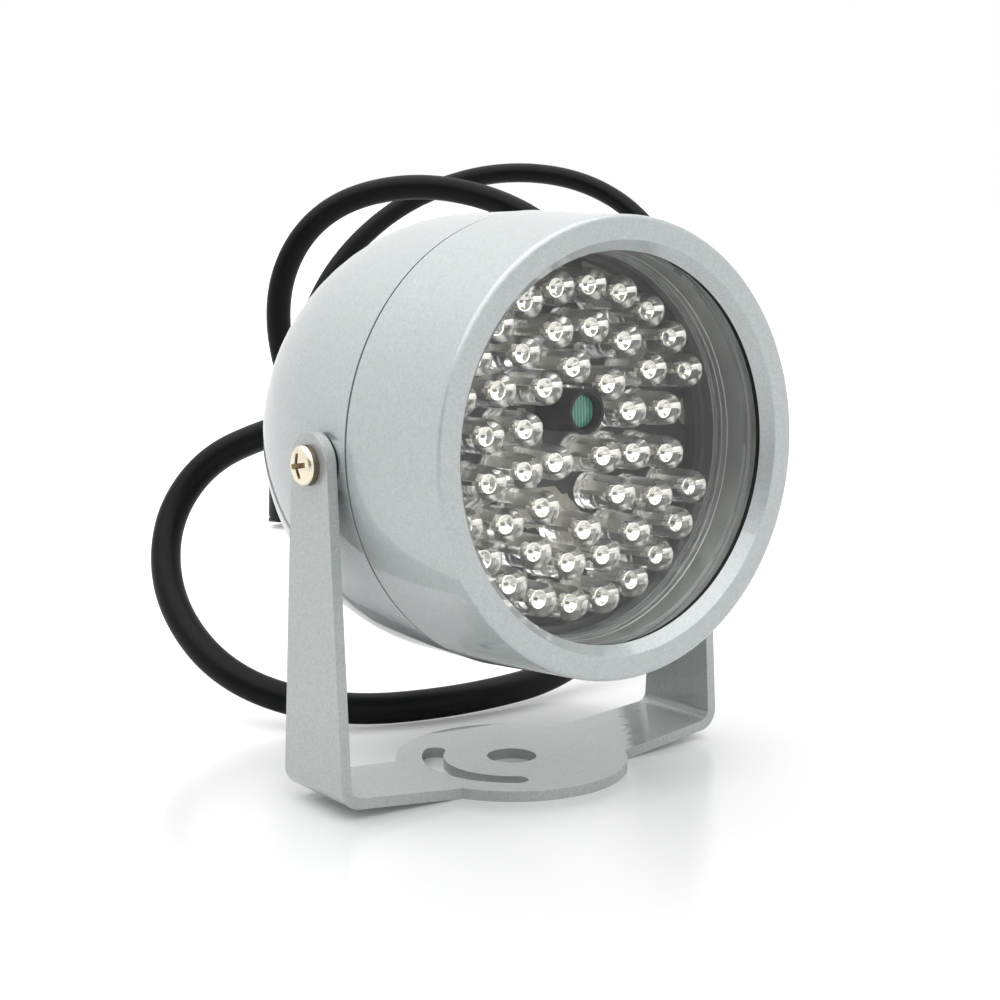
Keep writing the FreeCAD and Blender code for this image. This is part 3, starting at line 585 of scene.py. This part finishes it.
def turned(name, outline, steps=192, edge=0.15, axis=(0, 1, 0)):
    """Spin an outline of (depth, radius) points, in millimetres, round an axis of the origin."""
    along = Vector(axis)
    out = Vector((0, 0, 1)) if abs(along.z) < 0.5 else Vector((1, 0, 0))
    deselect()
    bpy.ops.mesh.primitive_plane_add(size=MM, location=(0, 0, 0))
    piece = bpy.context.active_object
    piece.name = name
    bpy.ops.object.mode_set(mode="EDIT")
    bpy.ops.mesh.merge(type="CENTER")
    depth, radius = outline[0]
    bpy.ops.transform.translate(value=(along * depth + out * radius) * MM)
    for (d0, r0), (d1, r1) in zip(outline, outline[1:]):
        step = (along * (d1 - d0) + out * (r1 - r0)) * MM
        bpy.ops.mesh.extrude_vertices_move(TRANSFORM_OT_translate={"value": step})
    bpy.ops.mesh.select_all(action="SELECT")
    bpy.ops.mesh.spin(steps=steps, angle=FULL_TURN, center=(0, 0, 0), axis=axis)
    weld()
    bpy.ops.object.mode_set(mode="OBJECT")
    soften(piece, edge)
    return piece


def arc(centre, radius, start, end, points):
    """Points of an arc in an outline, from one angle to another, counted from the radius way."""
    angles = [math.radians(start + (end - start) * k / points) for k in range(points + 1)]
    return [(centre[0] + radius * math.sin(a), centre[1] + radius * math.cos(a)) for a in angles]


print("a quarter round has", len(arc((0, 0), 1.0, 0, 90, 8)), "points in an outline")

# %% [markdown]
# A turned piece stands at the origin until it is finished. Then its mesh is moved to its place,
# and not its object, so that patterns stay put. Faces that were given a second finish keep it. What
# it rides on and how many faces it has is printed for each piece.

# %% Helper for finished pieces
def wear(piece, *materials, place=axis_frame, body="housing", slot=None, stands_for=()):
    """Put a piece in its place, give it its materials and let it ride on its body."""
    piece.data.transform(place)
    which = [face.material_index for face in piece.data.polygons]
    piece.data.materials.clear()
    for material in materials:
        piece.data.materials.append(material)
    for face, index in zip(piece.data.polygons, which):
        face.material_index = index
    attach(piece, body)
    if stands_for:
        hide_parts(*stands_for)
    print(piece.name, "rides on", body, "with", len(piece.data.polygons), "faces")


# %% [markdown]
# The barrel carries the look of the front: a flat rim face with a small round to its side, and a
# lip that slopes in to the glass at about forty degrees. Its outline also turns the bore and the
# groove of the spring ring. The bore isn't painted, so its faces, found by their place, get the
# second material.

# %% Front barrel
OPENING_R, BORE_R = 27.0, 28.4
RIM_DEPTH, RIM_INNER_R, RIM_ROUND = -1.8, 28.48, 0.75
SIDE_R, SEAM_DEPTH, SEAM_R = 31.87, 17.92, 32.9
SPIGOT_END, SPIGOT_R = 25.0, 30.4
GROOVE_START, GROOVE_END, GROOVE_R = 9.6, 11.42, 29.2
barrel = turned("lamp_barrel", [
    (0, OPENING_R), (RIM_DEPTH, RIM_INNER_R), (RIM_DEPTH, SIDE_R - RIM_ROUND),
    *arc((RIM_DEPTH + RIM_ROUND, SIDE_R - RIM_ROUND), RIM_ROUND, -80, 0, 8),
    (SEAM_DEPTH * 0.5, (SIDE_R + SEAM_R) / 2), (SEAM_DEPTH, SEAM_R),
    (SEAM_DEPTH, SPIGOT_R), (SPIGOT_END, SPIGOT_R), (SPIGOT_END, BORE_R),
    (GROOVE_END, BORE_R), (GROOVE_END, GROOVE_R), (GROOVE_START, GROOVE_R),
    (GROOVE_START, BORE_R), (0, BORE_R), (0, OPENING_R),
], edge=0.1)
bore_faces = 0
for face in barrel.data.polygons:
    radius = math.hypot(face.center.x, face.center.z)
    if face.center.y > -0.01 * MM and radius < (GROOVE_R + 0.1) * MM:
        face.material_index = 1
        bore_faces += 1
wear(barrel, housing_paint, bore_alloy, slot="silver_paint", stands_for=["front_barrel"])
print(bore_faces, "of its faces are in the bore")

# %% [markdown]
# The rear shell is a short cylinder, a zone of a sphere of the same radius, and a roll to a small
# flat back, all tangent, so the light runs over it without a break. It is one outline as well.

# %% Rear shell
SHELL_R, SHELL_BORE_R, GLAND_HOLE_R = 32.85, 30.5, 4.05
SHELL_START, DOME_START, BACK_INSIDE, SHELL_END = 18.4, 30.6, 56.1, 58.5
DOME_TURN = 42.0
roll_depth = DOME_START + SHELL_R * math.sin(math.radians(DOME_TURN))
roll_size = (SHELL_END - roll_depth) / (1 - math.sin(math.radians(DOME_TURN)))
flat_r = (SHELL_R - roll_size) * math.cos(math.radians(DOME_TURN))
shell = turned("lamp_shell", [
    (SHELL_START, SHELL_BORE_R), (SHELL_START, SHELL_R), (24.0, SHELL_R),
    *arc((DOME_START, 0), SHELL_R, 0, DOME_TURN, 16),
    *arc((SHELL_END - roll_size, flat_r), roll_size, DOME_TURN + 3, 90, 16),
    (SHELL_END, GLAND_HOLE_R), (BACK_INSIDE, GLAND_HOLE_R), (BACK_INSIDE, flat_r),
    (51.0, 22.67), (41.5, 28.4), (DOME_START, SHELL_BORE_R), (SHELL_START, SHELL_BORE_R),
], edge=0.05)
print("shell:", len(shell.data.polygons), "faces, flat back", round(flat_r, 2), "mm")

# %% [markdown]
# A flat pad on each side of the shell carries the pivot. It stands only a little proud, so each is
# turned as a short disc and joined to the shell with a Boolean.

# %% Pads of the shell
def combine(piece, tool, operation):
    """Boolean of a piece with another one, which is used up."""
    choose(piece)
    boolean = piece.modifiers.new("boolean", "BOOLEAN")
    boolean.operation = operation
    boolean.object = tool
    bpy.ops.object.modifier_apply(modifier=boolean.name)
    bpy.data.objects.remove(tool)


PAD_R, PAD_HOLE_R, PAD_ROOT, PAD_FACE = 3.6, 1.5, 31.0, 33.08
for side in (1, -1):
    pad = turned("pad", [
        (side * PAD_ROOT, 0), (side * PAD_ROOT, PAD_R), (side * PAD_FACE, PAD_R),
        (side * PAD_FACE, PAD_HOLE_R), (side * PAD_ROOT, 0)], steps=64, edge=0.08, axis=(1, 0, 0))
    pad.data.transform(Matrix.Translation((0, PIVOT_BEHIND, -PIVOT_UNDER)))
    combine(shell, pad, "UNION")
wear(shell, housing_paint, slot="silver_paint", stands_for=["rear_shell"])

# %% [markdown]
# The seal between barrel and shell is squeezed until it nearly fills the joint. It is what makes
# the joint a thin dark line.

# %% Seal of the joint
seal = turned("seam_seal", [
    (18.0, 30.55), (18.0, 32.35), (18.3, 32.35), (18.3, 30.55), (18.0, 30.55)], edge=0)
wear(seal, black_rubber, slot="black_rubber", stands_for=["seam_gasket"])

# %% [markdown]
# ## What the window shows
#
# Behind the glass lie the sleeve that spaces it, the spring ring in its groove and the stepped ring
# on which the light board sits. Their edges, and two steps and a groove in the sleeve, are the thin
# bright and dark circles of the bore.

# %% Window and bore
# The pane, the sleeve and the seat slide into the bore with a tenth of a millimetre to spare
GLASS_FRONT, GLASS_BACK, SLIDING_R, BOARD_DEPTH = 0.9, 3.9, BORE_R - 0.1, 15.2
window = turned("window_pane", [
    (GLASS_FRONT, 0), (GLASS_FRONT, SLIDING_R), (GLASS_BACK, SLIDING_R), (GLASS_BACK, 0)])
wear(window, window_glass, slot="window_glass", stands_for=["front_window"])
sleeve = turned("spacer_sleeve_turned", [
    (GLASS_BACK, 27.6), (GLASS_BACK, SLIDING_R), (GROOVE_START, SLIDING_R),
    (GROOVE_START, 27.45), (9.2, 27.45), (9.2, 28.0), (8.85, 28.0), (8.85, 27.45),
    (8.27, 27.45), (8.2, 27.52), (7.25, 27.52), (7.17, 27.6), (GLASS_BACK, 27.6)], edge=0.03)
wear(sleeve, bore_alloy, slot="anodised_alloy", stands_for=["spacer_sleeve"])
seat = turned("board_seat_turned", [
    (11.7, 28.0), (11.7, SLIDING_R), (BOARD_DEPTH, SLIDING_R), (BOARD_DEPTH, 26.4),
    (12.75, 26.4), (12.75, 27.6), (11.7, 28.0)], edge=0.05)
wear(seat, seat_alloy, slot="anodised_alloy", stands_for=["board_seat_ring"])

# %% [markdown]
# The spring ring is open on one side, so its outline is spun through less than a full turn and the
# two ends are closed with a face each.

# %% Spring ring
RING_OPENING, RING_INNER_R, RING_OUTER_R = math.radians(24), 27.1, 29.1
# Depth and radius of the corners of its section, in the order of a plane's corners
ring_section = [(GROOVE_START, RING_INNER_R), (GROOVE_START, RING_OUTER_R),
                (11.4, RING_INNER_R), (11.4, RING_OUTER_R)]
deselect()
bpy.ops.mesh.primitive_plane_add(size=MM, location=(0, 0, 0))
snap_ring = bpy.context.active_object
snap_ring.name = "spring_ring"
start = math.pi - RING_OPENING / 2
for vertex, (depth, radius) in zip(snap_ring.data.vertices, ring_section):
    vertex.co = Vector((radius * math.cos(start), depth, radius * math.sin(start))) * MM
bpy.ops.object.mode_set(mode="EDIT")
bpy.ops.mesh.select_all(action="SELECT")
bpy.ops.mesh.spin(steps=176, angle=FULL_TURN - RING_OPENING, center=(0, 0, 0), axis=(0, 1, 0))
bpy.ops.mesh.select_all(action="SELECT")
bpy.ops.mesh.normals_make_consistent(inside=False)
bpy.ops.object.mode_set(mode="OBJECT")
soften(snap_ring, 0.12)
wear(snap_ring, ring_steel, slot="ring_steel", stands_for=["retaining_ring"])

# %% [markdown]
# ## The emitters
#
# Each emitter is a 5 mm clear epoxy body on a lead frame. The cup that holds the chip and the
# post that holds the end of the bond wire are its brightest parts. The cup's edge lies at the
# middle of the dome's sphere, so the dome shows it in its true place and half as large again. The
# lens is a solid that truly refracts, and the metal in it has its real size. Under each body the
# board has a round silvered land. The flange magnifies it, so the bodies look light there.

# %% One lens
LED_R, LED_HEIGHT, FLANGE_R = 2.5, 9.2, 2.8
# The body stands just clear of the land under it, because two faces in one place would flicker
LENS_FOOT, FLANGE_FRONT = BOARD_DEPTH - 0.04, BOARD_DEPTH - 1.0
dome_centre = BOARD_DEPTH - LED_HEIGHT + LED_R
lens = turned("lens", [
    (LENS_FOOT, 0), (LENS_FOOT, FLANGE_R), (FLANGE_FRONT, FLANGE_R), (FLANGE_FRONT, LED_R),
    *arc((dome_centre, 0), LED_R, 0, -90, 9)], steps=36, edge=0)
print("one lens:", len(lens.data.polygons), "faces")

# %% [markdown]
# The lead frame is stamped from silver-plated steel, with a coined cup. Small blocks and rods of
# its real size are joined, because the lens over them shows little more than their outlines: a
# bright ring round the chip, and a bar to one side.

# %% Helpers for the lead frame
def block(size, centre, material):
    """Small box of the lead frame, across, depth and height in millimetres."""
    bpy.ops.mesh.primitive_cube_add(size=1, location=Vector(centre) * MM, scale=Vector(size) * MM)
    bpy.ops.object.transform_apply(location=True, rotation=False, scale=True)
    bpy.context.active_object.data.materials.append(material)
    return bpy.context.active_object


def rod(start, end, radius, sides, material):
    """Thin round rod between two points in millimetres."""
    start, end = Vector(start) * MM, Vector(end) * MM
    turn = (end - start).to_track_quat("Z", "Y").to_euler()
    bpy.ops.mesh.primitive_cylinder_add(vertices=sides, radius=radius * MM,
                                        depth=(end - start).length,
                                        location=(start + end) / 2, rotation=turn)
    bpy.ops.object.transform_apply(location=True, rotation=True, scale=True)
    bpy.context.active_object.data.materials.append(material)
    return bpy.context.active_object


def join(pieces):
    """Join some pieces into the first one."""
    deselect()
    for piece in pieces:
        piece.select_set(True)
    bpy.context.view_layer.objects.active = pieces[0]
    bpy.ops.object.join()
    return pieces[0]


print("metal of the lead frame:", silvered.name, cup_mirror.name, tinned.name)

# %% One lead frame
CUP_DEPTH = BOARD_DEPTH - LED_HEIGHT + 2.62
cup_floor, leg_top = CUP_DEPTH + 0.34, CUP_DEPTH + 0.9
cup = turned("cup", [
    (CUP_DEPTH + 1.0, 0), (CUP_DEPTH + 1.0, 0.72), (CUP_DEPTH + 0.05, 0.88), (CUP_DEPTH, 0.84),
    (CUP_DEPTH, 0.74), (cup_floor, 0.42), (cup_floor, 0)], steps=28, edge=0)
cup.data.materials.append(cup_mirror)
LAND_FRONT, LAND_R = BOARD_DEPTH - 0.03, 2.6
land = turned("land", [
    (LAND_FRONT, 0), (LAND_FRONT, LAND_R), (BOARD_DEPTH, LAND_R), (BOARD_DEPTH, 0)],
    steps=28, edge=0)
land.data.materials.append(silvered)
POST_END, POST_RISE, POST_HEIGHT = 1.85, 0.18, 0.4
WIRE_R, WIRE_TOP = 0.022, (0.3, CUP_DEPTH - 0.1, 0.12)
LEG_X = 1.27
lead_frame = join([
    cup, land,
    block((1.0, 0.9, POST_HEIGHT), (POST_END - 0.5, CUP_DEPTH + 0.42, POST_RISE), silvered),
    rod((POST_END, CUP_DEPTH - 0.03, POST_RISE), (POST_END, CUP_DEPTH + 0.87, POST_RISE),
        POST_HEIGHT / 2, 16, silvered),
    block((0.44, 0.7, 0.36), (-0.92, CUP_DEPTH + 0.45, 0), silvered),
    *[block((0.5, BOARD_DEPTH - leg_top, 0.45), (x, (BOARD_DEPTH + leg_top) / 2, 0), tinned)
      for x in (LEG_X, -LEG_X)],
    block((0.26, 0.12, 0.26), (0.0, CUP_DEPTH + 0.28, 0), chip_face),
    rod((0.05, CUP_DEPTH + 0.22, 0), WIRE_TOP, WIRE_R, 6, chip_face),
    rod(WIRE_TOP, (1.05, CUP_DEPTH, POST_RISE), WIRE_R, 6, chip_face),
])
soften(lead_frame, 0.05, segments=2)
print("one lead frame:", len(lead_frame.data.polygons), "faces,",
      [m.name for m in lead_frame.data.materials])

# %% [markdown]
# The places are those of the real board: an outer ring of 20 with a gap on each side, a ring of 16,
# then ten and two round the light sensor. Every emitter is put in with its bar to the same side.

# %% All the emitters
def ring_places(radius, start, count, empty=()):
    """Places evenly round a ring, without the empty ones."""
    turns = [math.radians(start + 360 * k / count) for k in range(count) if k not in empty]
    return [(radius * math.cos(turn), radius * math.sin(turn)) for turn in turns]


emitter_groups = {
    "outer_leds": ring_places(22.4, 24.7, 24, (10, 11, 22, 23)),
    "middle_leds": ring_places(16.6, 14.1, 16),
    "inner_leds": [(9.3, 4.2), (5.4, 8.3), (-1.0, 11.0), (-6.1, 8.4), (-9.7, 2.9),
                   (-9.9, -2.9), (-6.9, -8.2), (0.6, -12.1), (7.1, -7.6), (10.0, -1.9)],
    "centre_leds": [(-4.4, -2.1), (4.4, -1.9)],
}


def copies(master, name, places, lean=0.0):
    """One piece with a copy of the master at each place. Each leans by chance, in degrees."""
    made = []
    for x, z in places:
        copy = put_in_scene(name, master.data.copy())
        turn = Matrix.Rotation(math.radians(random.uniform(-lean, lean)), 4, "Y")
        copy.data.transform(Matrix.Translation(Vector((x, 0, z)) * MM) @ turn)
        made.append(copy)
    joined = join(made)
    joined.name = name
    return joined


for node_name, places in emitter_groups.items():
    lenses = copies(lens, node_name.replace("leds", "lenses"), places)
    wear(lenses, epoxy, slot="clear_epoxy", stands_for=[node_name])
    frames = copies(lead_frame, node_name.replace("leds", "lead_frames"), places, lean=3)
    wear(frames, *lead_frame.data.materials)
bpy.data.objects.remove(lens)
bpy.data.objects.remove(lead_frame)

# %% [markdown]
# ## The light sensor
#
# A small cell that senses daylight looks out through the middle of the field in a black shade tube.
# Its face is green with a fine track that runs to and fro. The track is far too thin to model, so
# the material draws it, as stripes about 0.55 mm apart.

# %% Sensor tube and cell
SENSOR_X, SENSOR_Z = 0.6, 4.7
TUBE_FRONT, TUBE_INNER_R, TUBE_OUTER_R = 7.5, 2.6, 3.2
sensor_spot = axis_frame @ Matrix.Translation(Vector((SENSOR_X, 0, SENSOR_Z)) * MM)
tube = turned("sensor_shade_tube", [
    (BOARD_DEPTH, TUBE_INNER_R), (BOARD_DEPTH, TUBE_OUTER_R), (TUBE_FRONT, TUBE_OUTER_R),
    (TUBE_FRONT, TUBE_INNER_R), (BOARD_DEPTH, TUBE_INNER_R)], steps=64, edge=0.1)
wear(tube, black_plastic, place=sensor_spot, slot="black_plastic", stands_for=["sensor_tube"])
cell = turned("daylight_cell", [
    (BOARD_DEPTH, 0), (BOARD_DEPTH, 1.6), (10.85, 1.6), (10.85, 2.5), (9.1, 2.5), (8.85, 2.25),
    (8.85, 0)], steps=48, edge=0.06)

# %% Sensor face
TRACK_PITCH = 0.55 * MM
cell_face, tree, shader = finish_named("printed_green_sensor_face", Roughness=0.3, Coat_Weight=0.6,
                                       Coat_Roughness=0.08)
track = add(tree, "ShaderNodeTexWave", {"Vector": place_in(tree, sensor_spot),
            "Scale": 1 / TRACK_PITCH / LINES_PER_METRE}, bands_direction="X")
sharp = add(tree, "ShaderNodeMapRange", {"Value": track.outputs["Fac"], "From Min": 0.35,
            "From Max": 0.65})
tint = add(tree, "ShaderNodeMix", {0: sharp.outputs[0], 6: colour("#1F6D57"), 7: colour("#58AD96")},
           data_type="RGBA")
feed(tree, shader, Base_Color=tint.outputs[2])
wear(cell, cell_face, place=sensor_spot, slot="sensor_ceramic", stands_for=["photocell"])

# %% [markdown]
# ## The pivots
#
# A pan-head screw holds each side. Its cross recess is sunk with two tapered bars by a Boolean, and
# its crown is rounded, which gives the bright rim. The faces of the recess are found by their place
# and get a grimy finish, because that is what makes the cross dark on the real one.

# %% One pivot screw
# The screw looks along +X, and its depth counts outwards from the arm's face
screw = turned("pivot_screw", [
    (-4.2, 0), (-4.2, 1.5), (0.03, 1.5), (0.03, 2.8), (0.75, 2.8),
    *arc((0.75, 1.9), 0.9, 0, 62, 5), (1.85, 1.1), (2.0, 0.5), (2.0, 0)],
    steps=72, edge=0, axis=(1, 0, 0))
BLADE_MIDDLE = 1.5 * MM
for turn in (8, 98):
    deselect()
    bpy.ops.mesh.primitive_cube_add(size=1, location=(BLADE_MIDDLE, 0, 0),
                                    scale=(1.8 * MM, 4.5 * MM, 0.8 * MM))
    blade = bpy.context.active_object
    bpy.ops.object.transform_apply(location=True, rotation=False, scale=True)
    for vertex in blade.data.vertices:
        # The end in the screw is shorter and thinner
        if vertex.co.x < BLADE_MIDDLE:
            vertex.co.y *= 0.4
            vertex.co.z *= 0.6
    blade.data.transform(Matrix.Rotation(math.radians(turn), 4, "X"))
    combine(screw, blade, "DIFFERENCE")
soften(screw, 0.08, angle=40, segments=2)
print("one screw:", len(screw.data.polygons), "faces")

# %% Both pivot screws
# The faces of the recess get the grimy finish, and the faces of the head's side get the painted
# shade
for face in screw.data.polygons:
    off_axis = math.hypot(face.center.y, face.center.z)
    inward = face.normal.y * face.center.y + face.normal.z * face.center.z < -0.02 * MM
    in_head = 0.5 * MM < face.center.x < 1.93 * MM and off_axis < 2.0 * MM
    if in_head and (inward or face.center.x < 1.5 * MM):
        face.material_index = 1
    elif 0 < face.center.x < 0.9 * MM and abs(face.normal.x) < 0.35:
        face.material_index = 2
ARM_FACE = 35.18 * MM
for side, way, name in ((1, 0, "pivot_screw_right"), (-1, math.pi, "pivot_screw_left")):
    copy = put_in_scene(name.replace("pivot_", "pan_head_"), screw.data.copy())
    seat_place = (lamp_frame @ Matrix.Translation((side * ARM_FACE, 0, 0))
                  @ Matrix.Rotation(way, 4, "Z"))
    wear(copy, nickel, recess_grime, shaded_nickel_side, place=seat_place, slot="nickel_plate",
         stands_for=[name])
bpy.data.objects.remove(screw)

# %% [markdown]
# ## The bracket
#
# The bracket is one strip of sheet, cut out, bored and folded twice. The CAD solid already has that
# shape to the tenth of a millimetre, so a copy of it is cleaned and its cut edges get the small
# round that paint leaves on sheet. The cut edge of the base, whose faces are found by their place
# and normal, gets a copy of the paint a shade lighter, as painted light.

# %% Bracket
bracket = put_in_scene("tilt_bracket", nodes["bracket"].data.copy())
choose(bracket)
bpy.ops.object.mode_set(mode="EDIT")
bpy.ops.mesh.select_all(action="SELECT")
bpy.ops.mesh.remove_doubles(threshold=WELD)
bpy.ops.mesh.dissolve_limited(angle_limit=math.radians(0.5))
bpy.ops.mesh.normals_make_consistent(inside=False)
bpy.ops.object.mode_set(mode="OBJECT")
bpy.ops.mesh.customdata_custom_splitnormals_clear()
soften(bracket, 0.22, angle=40)
BASE_TOP, ARM_INSIDE = 3.2 * MM, 33 * MM
cut_faces = 0
# Painted light: the faces of the base's cut edge get the lighter copy of the paint
for face in bracket.data.polygons:
    on_base = abs(face.center.x) < ARM_INSIDE and face.center.z < BASE_TOP
    if on_base and abs(face.normal.z) < 0.5:
        face.material_index = 1
        cut_faces += 1
wear(bracket, bracket_paint, lightened_edge_paint, place=Matrix.Identity(4), body="bracket",
     slot="bracket_paint", stands_for=["bracket"])
print(cut_faces, "of its faces are on the cut edge")

# %% [markdown]
# ## The gland and the socket
#
# Both are turned shapes. The gland is soft black rubber, so its ribs are rounded, and it tapers, so
# that the lead bends behind it without a kink.

# %% Cord gland
gland = turned("cord_gland_moulding", [
    (53.5, 2.65), (53.5, 4.0), (58.5, 4.0), (58.5, 5.6), (60.0, 5.6), (60.3, 5.2),
    (61.0, 4.75), (61.1, 4.2), (62.2, 4.1), (62.3, 4.5), (63.3, 4.2), (63.4, 3.7),
    (64.5, 3.6), (64.6, 3.95), (66.2, 3.4), (66.2, 2.65), (53.5, 2.65)], steps=72, edge=0.12)
wear(gland, black_rubber, slot="black_rubber", stands_for=["cord_gland"])

# %% [markdown]
# The socket is a hard moulding with a slim neck. The stiff lead holds it leaning, so the height of
# its top over the floor follows from its length, radius and lean.

# %% Power socket
LEAN, HEADING = math.radians(13.5), math.radians(52.4)
SOCKET_LENGTH, SOCKET_R = 26.0, 5.25
socket_axis = Vector((math.sin(LEAN) * math.cos(HEADING), math.sin(LEAN) * math.sin(HEADING),
                      math.cos(LEAN)))
socket_height = SOCKET_LENGTH * math.cos(LEAN) + SOCKET_R * math.sin(LEAN)
socket_top = Vector((86.2, 203.3, socket_height)) * MM
tip = Matrix.Rotation(LEAN, 4, Vector((0, 0, 1)).cross(socket_axis))
socket_frame = Matrix.Translation(socket_top) @ tip
socket = turned("power_socket_moulding", [
    (0, 0), (0, 3.4), (-0.5, 3.7), (-5.0, 3.75), (-6.6, 5.0), (-7.2, SOCKET_R),
    (-24.6, SOCKET_R), (-24.7, 5.05), (-25.1, 5.05), (-25.2, SOCKET_R),
    (-SOCKET_LENGTH, SOCKET_R), (-SOCKET_LENGTH, 3.2), (-15.0, 3.2), (-15.0, 0)],
    steps=72, edge=0.2, axis=(0, 0, 1))
wear(socket, black_plastic, place=socket_frame, body="bracket", slot="cord_jacket",
     stands_for=["socket_shell"])

# %% [markdown]
# ## What stays as the CAD model has it
#
# Gaskets, washers, the nut and the parts inside the shell already have their true shapes. They keep
# their meshes and get the finish of the real thing.

# %% Finishes of the other pieces
finishes = {
    "window_gasket": black_rubber, "board_clamp_ring": bore_alloy,
    "light_board": light_board_face, "driver_board": driver_board_face,
    "board_standoffs": brass, "board_screws": nickel, "driver_capacitor": black_plastic,
    "driver_transistor": black_plastic, "string_resistors": lacquer,
    "pivot_washer_right": black_plastic, "pivot_washer_left": black_plastic,
    "gland_nut": black_plastic, "cord_entry": jacket, "positive_lead": red_wire,
    "negative_lead": black_wire, "socket_core": black_plastic, "socket_sleeve": nickel,
    "socket_pin": nickel,
}
for name, material in finishes.items():
    node = nodes[name]
    node.data.materials.clear()
    node.data.materials.append(material)
print("finished nodes:", len(finishes))
